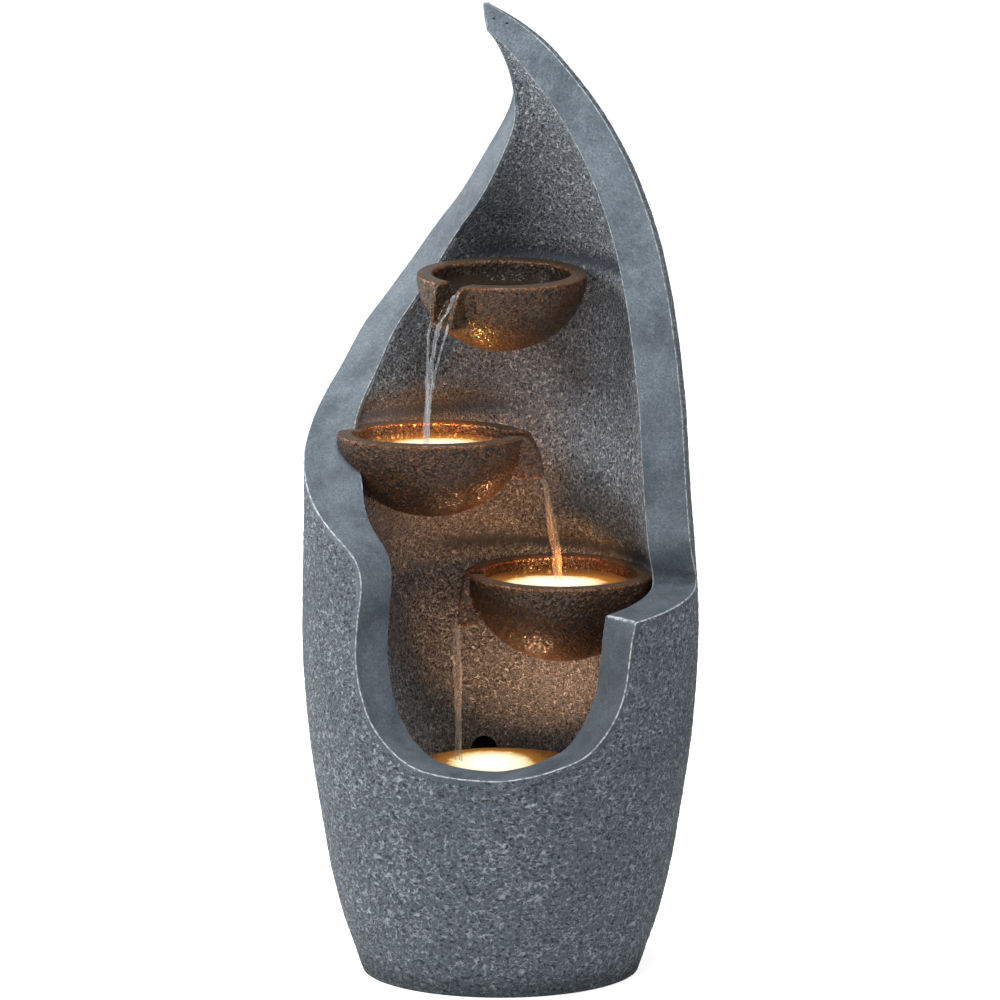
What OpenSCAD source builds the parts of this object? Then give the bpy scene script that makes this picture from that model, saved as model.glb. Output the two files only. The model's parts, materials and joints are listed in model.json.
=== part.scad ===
// Tiered cascade fountain in cast resin: a cut-open vase with a leaf tip, three spouted bowls
// against a grotto wall, and the pump, hose, tub and lamps that it holds inside.
// Origin at the centre of the base on the ground, +Z up, the open front towards -Y.

/* [Vase] */
// Wall of the outer shell
shell_wall = 8; // [6:0.5:12]
// Width of the smooth rim band, across the cut edge
rim_width = 45; // [40:1:50]
// Depth of the rim band behind the cut edge
rim_depth = 8; // [6:1:12]
// Rounding of the rim band's two edges
rim_edge = 2; // [1:0.5:3]
// Thickness of the grotto wall
wall_t = 6; // [5:0.5:9]

/* [Bowls] */
// Height of the top bowl's rim
bowl_top_z = 714; // [706:1:722]
// Half the width of the top bowl
bowl_top_w = 87; // [82:1:90]
// Height of the middle bowl's rim
bowl_middle_z = 552; // [544:1:560]
// Half the width of the middle bowl
bowl_middle_w = 96; // [90:1:100]
// Height of the lower bowl's rim
bowl_lower_z = 406; // [400:1:412]
// Half the width of the lower bowl
bowl_lower_w = 97; // [90:1:100]
// Width of each bowl's flat rim
bowl_rim = 16.5; // [14:0.5:20]
// Thickness of each bowl's floor over its lowest point
bowl_floor = 18; // [16:1:22]
// Width of each spout
spout_w = 34; // [30:1:40]
// Thickness of a spout's cheeks
spout_cheek = 6; // [5:0.5:8]
// Thickness of a spout's lip, where the water leaves it
spout_lip = 3; // [2:0.5:5]

/* [Basin and tub] */
// Height of the basin's floor plate, top face
basin_z = 150; // [140:1:160]
// Thickness of the basin's floor plate
basin_t = 4; // [3:0.5:6]
// Radius of the return hole in the grotto wall
return_r = 15; // [12:1:18]
// Height of the return hole's centre, which is the water line
return_z = 205; // [200:1:212]
// Wall of the reservoir tub
tub_wall = 4; // [3:0.5:5]
// Height of the tub's rim
tub_top = 222; // [212:1:226]

/* [Base] */
// Radius of the base plate
base_r = 133; // [130:0.5:133]
// Thickness of the base plate
base_t = 8; // [6:0.5:10]
// Shank radius of a base screw
base_screw_r = 2; // [1.5:0.25:2.5]

/* [Rear door] */
// Height of the door opening's lower edge
door_z0 = 250; // [248:1:252]
// Height of the door opening's upper edge
door_z1 = 350; // [345:1:352]
// Clearance round the door panel
door_gap = 0.8; // [0.5:0.1:1.2]
// Thickness of the door's gasket
gasket_t = 2; // [1.5:0.25:3]
// Shank radius of a door screw
door_screw_r = 2; // [1.5:0.25:2.5]

/* [Pump] */
// Width of the pump
pump_w = 44; // [40:1:50]
// Length of the pump's body, front to back
pump_l = 44; // [42:1:50]
// Height of the pump's body
pump_h = 46; // [44:1:52]
// Radius of the impeller's blades
impeller_r = 10.5; // [9:0.5:12]
// Running clearance between impeller and shaft
shaft_gap = 0.05; // [0.02:0.01:0.1]
// Outer radius of the riser hose
hose_r = 9; // [8:0.5:10]
// Bore radius of the riser hose
hose_bore_r = 6.5; // [5:0.5:7]

/* [Lamps] */
// Radius of a lamp housing
lamp_r = 14; // [12:0.5:16]
// Height of a lamp housing
lamp_h = 10; // [8:0.5:12]
// Radius of a lamp lead
lead_r = 2.5; // [2:0.25:3]

/* [Rear service plate] */
// Radius of the hole for the supply cord
cord_r = 4.1; // [3:0.1:5]
// Shank radius of the drain plug
drain_r = 6; // [5:0.5:7]

/* [Hidden] */
$fn = 48;

// Bond line between cast pieces, and the small play of seated parts
bond = 0.3;
play = 0.1;
hose_fit = 0.05;

// Outer radius of the vase by height, above a foot that fits round the base plate
foot_r = base_r + shell_wall;
body_profile = [[0, foot_r], [28, foot_r + 9], [49, foot_r + 17], [70, foot_r + 23],
    [111, 174], [153, 181], [195, 188], [236, 194], [278, 198], [320, 201], [361, 202],
    [403, 201], [445, 199], [487, 197], [528, 196], [590, 195], [643, 190], [695, 175],
    [747, 156], [778, 138], [799, 127], [820, 117], [862, 96], [900, 84], [927, 74], [955, 63],
    [974, 46], [990, 27], [1000, 6], [1012, -8]];
// How far the centre of each section stands to the right, and to the back
lean_x = [[0, 0], [380, 0], [450, -1.5], [590, -6.5], [643, -7.5], [680, -1.5], [747, 8.5],
    [778, 18.5], [820, 23.5], [862, 24.5], [900, 12.5], [927, 1.5], [955, -11.5], [974, -16.5],
    [990, -20], [1000, -21]];
lean_y = [[0, 0], [700, 0], [850, 10], [1000, 15]];
// The cut edge, as height and angle round the axis: right side, then left side
right_edge = [[238, -90], [240, -86], [244, -78], [252, -70], [258, -64], [270, -60],
    [290, -55], [315, -51.5], [344, -50], [372, -49], [393, -47], [394.5, -40], [396, -33],
    [398, -24], [400, -16], [402, -9], [404, -4], [411, -4], [420, -7], [432, -10],
    [446, -12], [1000, -12]];
left_edge = [[238, 270], [240, 257], [245, 245], [254, 239], [267, 234], [285, 229],
    [297, 227], [328, 224], [357, 223], [393, 224], [430, 226], [454, 224], [467, 218],
    [479, 210], [496, 198], [511, 189], [528, 180], [546, 168], [575, 154], [600, 144],
    [625, 138], [664, 130], [705, 123.5], [747, 118], [792, 114.5], [815, 111.7], [837, 108],
    [858, 103], [877, 96], [887, 92.5], [907, 86.6], [918, 82], [929, 77], [939, 74],
    [950, 68], [960, 66], [974, 50], [1000, 32]];
// Heights of the rings: the closed ones below the cut, then those along it
low_rows = [0, 16, 44, 75, 110, basin_z, 180, 210];
edge_rows = [238, 240, 243, door_z0, 257, 266, 278, 293, 310, 330, door_z1, 372, 393, 394.2,
    395.5, 397, 398.6, 400.3, 402, 404, 411, 420, 432, 446, 460, 472, 484, 498, 512, 528, 545,
    562, 580, 600, 622, 645, 668, 690, 712, 735, 765, 800, 835, 865, 892, 918, 929, 940, 958,
    974, 988, 1000];
top_row = len(edge_rows) - 1;

function smoothed(z, table, h) =
    (lookup(z - h, table) + 2 * lookup(z, table) + lookup(z + h, table)) / 4;
function body_r(z) = smoothed(z, body_profile, 10);
function axis_x(z) = smoothed(z, lean_x, 15);
function axis_y(z) = smoothed(z, lean_y, 15);
function inner_r(z) = max(body_r(z) - rim_width, 3);
function at(r, a, z) = [axis_x(z) + r * cos(a), axis_y(z) + r * sin(a), z];

// The grotto wall stands forward of the vase's inner radius at the back, more so low down,
// and swells under each bowl to carry it
stand_by_height = [[150, 48], [205, 46], [300, 36], [360, 26], [392, 8], [430, 8], [470, 26],
    [515, 28], [545, 20], [575, 20], [640, 14], [700, 3], [730, 0]];
// Each swell as angle, height and how far it stands out
swells = [[88, 655, 24], [122, 480, 18], [62, 345, 24]];
function ramp(t) = let (c = min(max(t, 0), 1)) c * c * (3 - 2 * c);
function from_edges(a, z, w0, w1) =
    ramp((a - max(lookup(z, right_edge), -15)) / w0) * ramp((min(lookup(z, left_edge), 205) - a) / w1);
function sum(v, i = 0) = i == len(v) ? 0 : v[i] + sum(v, i + 1);
function swell(a, z) =
    sum([for (s = swells) s[2] * exp(-pow((a - s[0]) / 30, 2) - pow((z - s[1]) / 40, 2))]);
function wall_r(a, z) = inner_r(z) - from_edges(a, z, 60, 50) * smoothed(z, stand_by_height, 15)
    - from_edges(a, z, 15, 15) * swell(a, z);
// Depth along Y of the grotto wall's face at a given place, moved out by off
function wall_y(x, z, off = 0, a = 90, n = 4) = let (
        r = wall_r(a, z) + off,
        dx = x - axis_x(z),
        y = sqrt(max(r * r - dx * dx, 0)))
    n == 0 ? y + axis_y(z) : wall_y(x, z, off, atan2(y, dx), n - 1);

// Extra width of the bond line where the cut edge turns and twists sharply, by height
bond_extra = [[380, 0], [387, 0.9], [397, 0.9], [400, 0], [515, 0], [528, 0.25], [612, 0.25],
    [625, 0], [790, 0], [812, 0.6], [900, 0.6], [925, 0.9], [955, 0.9], [974, 0]];
// Points of the cut edge, moved into the material by d along the surface
right_cut = [for (z = edge_rows) [lookup(z, right_edge), z]];
left_cut = [for (z = edge_rows) [lookup(z, left_edge), z]];
tip_share = 0.2;
function side_normal(a, b, side) = let (
        u = (b[0] - a[0]) * PI / 180 * body_r((a[1] + b[1]) / 2),
        v = b[1] - a[1])
    side * [v, -u] / norm([u, v]);
function inset_limit(j) =
    tip_share * body_r(edge_rows[j]) * (left_cut[j][0] - right_cut[j][0]) * PI / 180;
function inset(cut, side, j, depth, past = 0) = let (
        n1 = side_normal(cut[max(j - 1, 0)], cut[max(j, 1)], side),
        n2 = side_normal(cut[min(j, top_row - 1)], cut[min(j + 1, top_row)], side),
        m = j == 0 ? [0, -1] : (n1 + n2) / (1 + n1 * n2),
        d = min(depth, inset_limit(j)) + past)
    [cut[j][0] + m[0] * d / body_r(cut[j][1]) * 180 / PI, cut[j][1] + m[1] * d];

// A ring of [angle, height] pairs round the vase, between the two cut edges. The middle stretch
// keeps straight upright columns at the back up to the height where the opening narrows.
door_half = 18;
fade = 0.12;
function blend(a, b, t) = a + (b - a) * t;
function spread(a, b, m, t) = let (
        free = ramp((m - 400) / 200),
        k = door_half / 360,
        lo = blend(90 - door_half, blend(a, b, 0.5 - k), free),
        hi = blend(90 + door_half, blend(a, b, 0.5 + k), free))
    t < 0.5 - k ? blend(a, lo, t / (0.5 - k))
    : t > 0.5 + k ? blend(hi, b, (t - 0.5 - k) / (0.5 - k))
    : blend(lo, hi, (t - 0.5 + k) / (2 * k));
function edge_ring(j, n, gap) = let (
        z = edge_rows[j],
        past = gap + lookup(z, bond_extra),
        a = inset(right_cut, 1, j, rim_depth, past),
        b = inset(left_cut, -1, j, rim_depth, past))
    [for (i = [0 : n]) let (t = i / n) [spread(a[0], b[0], z, t),
        z + (a[1] - z) * max(1 - t / fade, 0) + (b[1] - z) * max(1 - (1 - t) / fade, 0)]];
function low_ring(z, n) = [for (i = [0 : n]) [-90 + 360 * i / n, z]];

// Solid between an outer and an inner grid of points. Rings up to the one numbered closed join
// up with themselves, and each window [j0, j1, i0, i1] is left open right through.
function two(q) = [[q[0], q[1], q[2]], [q[0], q[2], q[3]]];
function in_window(w, j, i) = j >= w[0] && j < w[1] && i >= w[2] && i < w[3];
function open_at(ws, j, i) = len([for (w = ws) if (in_window(w, j, i)) 1]) > 0;
module skin(outer, inner, closed, windows = []) {
    rows = len(outer);
    n = len(outer[0]) - 1;
    function id(s, j, i) = s * rows * (n + 1) + j * (n + 1) + (i == n && j <= closed ? 0 : i);
    function above(j, i) = two([id(0, j, i), id(0, j, i + 1), id(1, j, i + 1), id(1, j, i)]);
    function below(j, i) = two([id(0, j, i + 1), id(0, j, i), id(1, j, i), id(1, j, i + 1)]);
    function right(j, i) = two([id(1, j + 1, i), id(0, j + 1, i), id(0, j, i), id(1, j, i)]);
    function left(j, i) = two([id(1, j, i), id(0, j, i), id(0, j + 1, i), id(1, j + 1, i)]);
    faces = [
        for (j = [0 : rows - 2], i = [0 : n - 1]) if (!open_at(windows, j, i))
            each two([id(0, j, i), id(0, j + 1, i), id(0, j + 1, i + 1), id(0, j, i + 1)]),
        for (j = [0 : rows - 2], i = [0 : n - 1]) if (!open_at(windows, j, i))
            each two([id(1, j, i), id(1, j, i + 1), id(1, j + 1, i + 1), id(1, j + 1, i)]),
        for (i = [0 : n - 1]) each above(0, i),
        for (i = [0 : n - 1]) each below(rows - 1, i),
        for (j = [closed : rows - 2]) each right(j, 0),
        for (j = [closed : rows - 2]) each left(j, n),
        for (w = windows, i = [w[2] : w[3] - 1]) each below(w[0], i),
        for (w = windows, i = [w[2] : w[3] - 1]) each above(w[1], i),
        for (w = windows, j = [w[0] : w[1] - 1]) each left(j, w[2]),
        for (w = windows, j = [w[0] : w[1] - 1]) each right(j, w[3])];
    polyhedron([for (g = [outer, inner], r = g) each r], faces);
}

// Closed solid from a list of rings of equal length, with a fan on each end, or with the last
// ring joined to the first
module loft(rings, flip = false, loop = false) {
    n = len(rings[0]);
    m = len(rings);
    function id(j, i) = (j % m) * n + i % n;
    sides = [for (j = [0 : loop ? m - 1 : m - 2], i = [0 : n - 1])
        each two([id(j, i), id(j + 1, i), id(j + 1, i + 1), id(j, i + 1)])];
    ends = [for (i = [1 : n - 2])
        each [[id(0, 0), id(0, i), id(0, i + 1)], [id(m - 1, 0), id(m - 1, i + 1), id(m - 1, i)]]];
    faces = loop ? sides : concat(sides, ends);
    polyhedron([for (r = rings) each r], flip ? [for (f = faces) [f[0], f[2], f[1]]] : faces);
}

// Round tube along a list of points, solid or with a bore
function unit(v) = v / norm(v);
function along(p, i) = unit(p[min(i + 1, len(p) - 1)] - p[max(i - 1, 0)]);
function hoop(p, t, r, sides) = let (
        side = unit(cross(t, abs(t[0]) > 0.9 ? [0, 0, 1] : [1, 0, 0])),
        up = cross(side, t))
    [for (k = [0 : sides - 1]) p + r * (cos(360 * k / sides) * side + sin(360 * k / sides) * up)];
function curve(p, i, t) = let (
        a = p[max(i - 1, 0)], b = p[i], c = p[i + 1], d = p[min(i + 2, len(p) - 1)])
    ((2 * b) + (c - a) * t + (2 * a - 5 * b + 4 * c - d) * t * t
        + (3 * b - a - 3 * c + d) * t * t * t) / 2;
function route(p, steps) = concat(
    [for (i = [0 : len(p) - 2], k = [0 : steps - 1]) curve(p, i, k / steps)], [p[len(p) - 1]]);
module tube(points, r, sides = 8, steps = 3) {
    p = route(points, steps);
    loft([for (i = [0 : len(p) - 1]) hoop(p[i], along(p, i), r, sides)], true);
}

// Part of a ring that follows the vase's profile, between two heights, two angles and two
// depths under the outer surface
module sector(z0, z1, a0, a1, out, inn) {
    zs = [for (k = [0 : 5]) blend(z0, z1, k / 5)];
    rotate([0, 0, a0])
        rotate_extrude(angle = a1 - a0)
            polygon(concat([for (z = zs) [body_r(z) - out, z]],
                [for (k = [5 : -1 : 0]) [body_r(zs[k]) - inn, zs[k]]]));
}

// Cylinder along +Y from a point
module rod_y(x, y, z, r, l) {
    translate([x, y, z])
        rotate([-90, 0, 0])
            cylinder(r = r, h = l);
}

// Outer shell with the solid leaf tip
shell_cols = 40;
shell_rows = concat([for (z = low_rows) low_ring(z, shell_cols)],
    [for (j = [0 : top_row]) edge_ring(j, shell_cols, bond)]);
tip_fill = [[918, 0], [940, 1]];
function shell_inner_r(z) =
    max(body_r(z) - blend(shell_wall, rim_width, lookup(z, tip_fill)), 3.5);
plate_cols = [19, 21];
door_cols = [18, 22];
module outer_shell() {
    color([0.36, 0.41, 0.47])
        skin([for (r = shell_rows) [for (q = r) at(body_r(q[1]), q[0], q[1])]],
            [for (r = shell_rows) [for (q = r) at(shell_inner_r(q[1]), q[0], q[1])]],
            len(low_rows),
            [[1, 2, plate_cols[0], plate_cols[1]],
                [len(low_rows) + 3, len(low_rows) + 10, door_cols[0], door_cols[1]]]);
}

// Smooth band round the cut edge
function band_ring(cut, side, j) = let (
        z = edge_rows[j],
        e = min(rim_edge, (body_r(z) - inner_r(z)) / 3, inset_limit(j) / 3),
        c = cut[j],
        q = inset(cut, side, j, e),
        d = inset(cut, side, j, rim_depth))
    [at(body_r(c[1]) - e, c[0], c[1]), at(inner_r(c[1]) + e, c[0], c[1]),
        at(inner_r(q[1]), q[0], q[1]), at(inner_r(d[1]), d[0], d[1]),
        at(body_r(d[1]), d[0], d[1]), at(body_r(q[1]), q[0], q[1])];
module rim_band() {
    color([0.47, 0.53, 0.6])
        loft(concat([for (j = [top_row : -1 : 0]) band_ring(right_cut, 1, j)],
            [for (j = [1 : top_row]) band_ring(left_cut, -1, j)]));
}

// Grotto wall, closed round the basin below the cut
wall_cols = 32;
wall_top = top_row - 5;
wall_rows = concat([for (j = [5 : 7]) low_ring(low_rows[j], wall_cols)],
    [for (j = [0 : wall_top]) edge_ring(j, wall_cols, 2 * bond)]);
hole_top = [10, 690];
module grotto_wall() {
    color([0.22, 0.24, 0.28])
        difference() {
            skin([for (r = wall_rows) [for (q = r) at(wall_r(q[0], q[1]) + wall_t, q[0], q[1])]],
                [for (r = wall_rows) [for (q = r) at(wall_r(q[0], q[1]), q[0], q[1])]], 3);
            rod_y(return_x, 60, return_z, return_r, 90);
            rod_y(hole_top[0], 80, hole_top[1], inlet_r + play, 90);
            for (l = wall_leads)
                rod_y(l[0], l[1], l[2], lead_r + 1.5, 90);
            for (b = bowls, x = bolt_x(b))
                rod_y(x, 30, bolt_z(b), bolt_r + play, 150);
        }
}
return_x = -17;

// Bowls: [centre, half-width, half-depth, height, spout direction, spout reach, spout drop]
bowl_top_at = [1.5, 45, bowl_top_z];
bowl_middle_at = [-70.5, 22, bowl_middle_z];
bowl_lower_at = [63, 30, bowl_lower_z];
top_bowl = [bowl_top_at, bowl_top_w, 76, 80, 228, 14, 44];
middle_bowl = [bowl_middle_at, bowl_middle_w, 64.5, 86, 0, 19, 45];
lower_bowl = [bowl_lower_at, bowl_lower_w, 84.6, 92, 180, 10, 54];
bowls = [top_bowl, middle_bowl, lower_bowl];
bowl_skin = 11;
bowl_seat = 0.9;
bowl_cols = 30;
function full_turn(a) = a < -100 ? a + 360 : a;
// Radius of the grotto wall as its flat facets between two rings of points leave it
wall_zs = concat([for (j = [5 : 7]) low_rows[j]], edge_rows);
function facet_r(a, z) = let (
        z0 = max([for (q = wall_zs) if (q <= z) q]),
        z1 = min([for (q = wall_zs) if (q > z) q]))
    min(wall_r(a, z), blend(wall_r(a, z0), wall_r(a, z1), (z - z0) / (z1 - z0)));
// A bowl's point, kept clear of the grotto wall and of the band's inner edge
function held(p, off) = let (
        v = [p[0] - axis_x(p[2]), p[1] - axis_y(p[2])],
        a = full_turn(atan2(v[1], v[0])),
        r = norm(v),
        past = max(a - lookup(p[2], left_edge) - 2, 0),
        free = facet_r(a, p[2]) + past * r * PI / 180 * 1.5 - bowl_seat - off)
    r > free ? [axis_x(p[2]) + v[0] * free / r, axis_y(p[2]) + v[1] * free / r, p[2]] : p;
function bowl_ring(b, w, d, z, off) = [for (i = [0 : bowl_cols - 1]) let (a = -360 * i / bowl_cols)
    held([b[0][0] + w * cos(a), b[0][1] + d * sin(a), z], off)];
function bowl_rings(b) = let (
        w = b[1], d = b[2], h = b[3], z = b[0][2],
        wi = w - bowl_rim, di = d - bowl_rim, hi = h - bowl_floor + 4)
    concat(
        [for (u = [84, 75, 65, 55, 45, 35, 25, 15, 6])
            bowl_ring(b, w * cos(u), d * cos(u), z - h * sin(u), 0)],
        [bowl_ring(b, w - 3, d - 3, z, 0),
            bowl_ring(b, wi + 3, di + 3, z, bowl_skin - 3)],
        [for (u = [4, 15, 25, 35, 45, 55, 65])
            bowl_ring(b, wi * cos(u), di * cos(u), z - hi * sin(u), bowl_skin)],
        [bowl_ring(b, wi * cos(72), di * cos(72), z - h + bowl_floor, bowl_skin)]);
// Side view of the spout block and of the channel cut through it, as distance from the
// bowl's axis along the spout and height from the rim
function spout_block(s, reach, drop) = [[s - 14, -1], [s - 1, -1], [s + reach * 0.35, -drop * 0.16],
    [s + reach * 0.65, -drop * 0.4], [s + reach * 0.88, -drop * 0.72], [s + reach, -drop],
    [s - 8, -drop], [s - 18, -drop * 0.6]];
function spout_cut(s, reach, drop) = [[s - 40, 2], [s - 40, -12], [s - 22, -drop * 0.32],
    [s - 4, -drop * 0.52], [s + reach - 3, -drop + spout_lip], [s + reach + 9, -drop + spout_lip],
    [s + reach + 9, 2]];
module upright(b, outline, w) {
    translate(b[0])
        rotate([0, 0, b[4]])
            translate([0, w / 2, 0])
                rotate([90, 0, 0])
                    linear_extrude(w)
                        polygon(outline);
}
function spout_start(b) = 1 / norm([cos(b[4]) / b[1], sin(b[4]) / b[2]]);
bolt_r = 3;
function bolt_x(b) = [b[0][0] - 27, b[0][0] + 27];
function bolt_z(b) = b[0][2] - 34;
bolt_grip = 8;
module bowl(b) {
    s = spout_start(b);
    color([0.24, 0.17, 0.12])
        difference() {
            union() {
                loft(bowl_rings(b), true);
                upright(b, spout_block(s, b[5], b[6]), spout_w);
            }
            upright(b, spout_cut(s, b[5], b[6]), spout_w - 2 * spout_cheek);
            for (x = bolt_x(b))
                rod_y(x, wall_y(x, bolt_z(b)) - bolt_grip, bolt_z(b), bolt_r, 40);
            lead_hole(b);
        }
}
module bowl_top() {
    bowl(top_bowl);
}
module bowl_middle() {
    bowl(middle_bowl);
}
module bowl_lower() {
    bowl(lower_bowl);
}
// The middle and lower bowls are drilled at the back for the lamp's lead, the top one for
// the water
module lead_hole(b) {
    if (b == top_bowl)
        rod_y(hole_top[0], 60, hole_top[1], inlet_r + play, 90);
    else
        rod_y(b[0][0], b[0][1] + lamp_r, lowest_in(b)[2] + lamp_h / 2, grommet_r + play, 90);
}

// Bolts that hold the bowls, with heads behind the grotto wall
bolt_head_t = 4;
function head_seat(x, z) =
    max([for (u = [-2, 0, 2], v = [-2, 0, 2]) wall_y(x + u * bolt_r, z + v * bolt_r, wall_t)]) + 1;
module bowl_bolts() {
    color([0.7, 0.7, 0.72])
        for (b = bowls, x = bolt_x(b)) {
            back = head_seat(x, bolt_z(b));
            front = wall_y(x, bolt_z(b)) - bolt_grip;
            rod_y(x, front + play, bolt_z(b), bolt_r - play, back - front + 1);
            rod_y(x, back, bolt_z(b), bolt_r * 2, bolt_head_t);
        }
}

// Floor plate of the basin, under the lower edge of the grotto wall
plate_lip = 3;
basin_lamp = [-16, 43];
lead_drop = [-16, 68];
module basin_floor() {
    color([0.2, 0.21, 0.24])
        difference() {
            translate([0, 0, basin_z - basin_t])
                linear_extrude(basin_t)
                    polygon([for (i = [0 : 35]) let (a = -90 + 10 * i, r = wall_r(a, basin_z))
                        (r + wall_t + plate_lip) * [cos(a), sin(a)]]);
            translate([lead_drop[0], lead_drop[1], basin_z - 2 * basin_t])
                cylinder(r = grommet_r + play, h = 4 * basin_t);
        }
}

// Blocks cast in behind the shell's foot, which take the base plate's screws
block_at = [30, 150, 210, 330];
block_w = 28;
block_h = 20;
block_l = 13.9;
block_fit = 0.6;
block_out = sqrt(pow(body_r(base_t) - shell_wall - block_fit, 2) - pow(block_w / 2, 2));
screw_at = block_out - block_l / 2;

// Reservoir tub, inside the blocks and along the shell
tub_play = 2.5;
tub_flare = 1;
tub_gap = 8;
tub_foot = block_out - block_l - tub_play;
tub_bends = [64, 111, 153, 195, tub_top];
tub_profile = concat([[tub_foot, base_t], [tub_foot + tub_flare, base_t + block_h]],
    [for (z = tub_bends) [body_r(z) - shell_wall - tub_gap, z]]);
tub_floor = 5;
drain_z = 30;
drain_x = 12;
boss_y = [tub_foot - 6, body_r(drain_z) - shell_wall - 5];
module reservoir_tub() {
    color([0.13, 0.14, 0.15])
        difference() {
            union() {
                rotate_extrude()
                    polygon(concat([[0, base_t]], tub_profile,
                        [for (k = [len(tub_profile) - 1 : -1 : 1])
                            tub_profile[k] - [tub_wall, 0]],
                        [[tub_profile[0][0] - tub_wall, base_t + tub_floor],
                            [0, base_t + tub_floor]]));
                rod_y(drain_x, boss_y[0], drain_z, drain_r + 3, boss_y[1] - boss_y[0]);
            }
            rod_y(drain_x, boss_y[0] - 10, drain_z, drain_r, 60);
        }
}

// Posts that carry the basin's floor, by radius and angle, clear of the pump
post_r = 6;
post_ring = tub_foot - 3 * post_r;
posts = [[post_ring, 180], [post_ring, 0], [post_ring, 270], [post_ring, 227], [post_ring, 313],
    [post_ring - 2 * post_r, 130], [post_ring - 2 * post_r, 50]];
module tub_posts() {
    color([0.14, 0.15, 0.16])
        for (p = posts)
            translate([p[0] * cos(p[1]), p[0] * sin(p[1]), base_t + tub_floor])
                cylinder(r = post_r, h = basin_z - basin_t - base_t - tub_floor);
}

// Base plate, and the screws that hold it
screw_head_r = 4;
screw_sink = 3;
module base_plate() {
    color([0.15, 0.16, 0.17])
        difference() {
            cylinder(r = base_r, h = base_t, $fn = 96);
            for (a = block_at)
                rotate([0, 0, a])
                    translate([screw_at, 0, -1]) {
                        cylinder(r = base_screw_r + play, h = base_t + 2);
                        cylinder(r = screw_head_r + play, h = screw_sink + 1);
                    }
        }
}
module base_blocks() {
    color([0.36, 0.41, 0.47])
        for (a = block_at)
            rotate([0, 0, a])
                difference() {
                    translate([block_out - block_l, -block_w / 2, base_t])
                        cube([block_l, block_w, block_h]);
                    translate([screw_at, 0, base_t - 1])
                        cylinder(r = base_screw_r, h = block_h - 3);
                }
}
module base_screws() {
    color([0.7, 0.7, 0.72])
        for (a = block_at)
            rotate([0, 0, a])
                translate([screw_at, 0, 0.2]) {
                    cylinder(r = base_screw_r - 0.02, h = base_t + block_h - 6);
                    cylinder(r = screw_head_r, h = screw_sink - 0.3);
                }
}

// Service plate at the foot of the back, with the cord grommet and the drain plug
service_z = [16.6, 43.4];
service_a = [81.4, 98.6];
seat_depth = 3.88;
seat_y = body_r(drain_z) - seat_depth;
module service_plate() {
    color([0.3, 0.34, 0.39])
        difference() {
            sector(service_z[0], service_z[1], service_a[0], service_a[1], 0.4, shell_wall);
            for (x = [-drain_x, drain_x])
                rod_y(x, seat_y, drain_z, drain_r + 4.6, 20);
            rod_y(-drain_x, 120, drain_z, cord_r + 2.6, 60);
            rod_y(drain_x, 120, drain_z, drain_r + 0.2, 60);
        }
}
grommet_lip = 2;
module cord_grommet() {
    color([0.08, 0.08, 0.09])
        difference() {
            union() {
                rod_y(-drain_x, seat_y - 12, drain_z, cord_r + 2.5, 16);
                rod_y(-drain_x, seat_y + 0.1, drain_z, cord_r + 5, grommet_lip);
            }
            rod_y(-drain_x, seat_y - 20, drain_z, cord_r, 40);
        }
}
module drain_plug() {
    color([0.1, 0.1, 0.11])
        difference() {
            union() {
                rod_y(drain_x, boss_y[0] + 6, drain_z, drain_r - 0.05, seat_y - boss_y[0] - 5);
                rod_y(drain_x, seat_y + 0.2, drain_z, drain_r + 3.8, 5);
            }
            translate([drain_x - 8, seat_y + 3.2, drain_z - 1])
                cube([16, 6, 2]);
        }
}

// Rear access door, its frame, gasket, inserts and captive screws
frame_over = 10;
ledge = 14;
screw_z = [door_z0 + 7, door_z1 - 7];
frame_out = shell_wall + 0.8;
frame_t = 5;
module door_frame() {
    color([0.14, 0.15, 0.16])
        difference() {
            sector(door_z0 - frame_over, door_z1 + frame_over, 90 - door_half - 3,
                90 + door_half + 3, frame_out, frame_out + frame_t);
            sector(door_z0 + ledge, door_z1 - ledge, 90 - door_half + 4.5,
                90 + door_half - 4.5, frame_out - 5, frame_out + frame_t + 5);
            for (z = screw_z)
                rod_y(0, body_r(z) - 40, z, insert_r, 60);
        }
}
insert_r = 4;
module door_inserts() {
    color([0.75, 0.6, 0.3])
        for (z = screw_z)
            difference() {
                rod_y(0, body_r(z) - frame_out - frame_t - 4, z, insert_r, frame_t + 3.4);
                rod_y(0, body_r(z) - 40, z, door_screw_r + 0.05, 60);
            }
}
gasket_out = frame_out - gasket_t;
module door_gasket() {
    color([0.06, 0.06, 0.07])
        difference() {
            sector(door_z0 + 1.5, door_z1 - 1.5, 90 - door_half + 0.5, 90 + door_half - 0.5,
                gasket_out + 0.15, frame_out - 0.15);
            sector(door_z0 + ledge - 1, door_z1 - ledge + 1, 90 - door_half + 4.2,
                90 + door_half - 4.2, gasket_out - 5, frame_out + 5);
            for (z = screw_z)
                rod_y(0, body_r(z) - 40, z, door_screw_r + 1, 60);
        }
}
head_r = 4.5;
head_t = 2.6;
door_out = 0.5;
side_gap = door_gap / body_r(door_z0) * 180 / PI;
module access_door() {
    color([0.34, 0.39, 0.45])
        difference() {
            sector(door_z0 + door_gap, door_z1 - door_gap, 90 - door_half + side_gap,
                90 + door_half - side_gap, door_out, gasket_out);
            for (z = screw_z) {
                rod_y(0, body_r(z) - 40, z, door_screw_r + 0.1, 60);
                rod_y(0, body_r(z) - door_out - head_t - 0.6, z, head_r + 0.3, 20);
            }
        }
}
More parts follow.
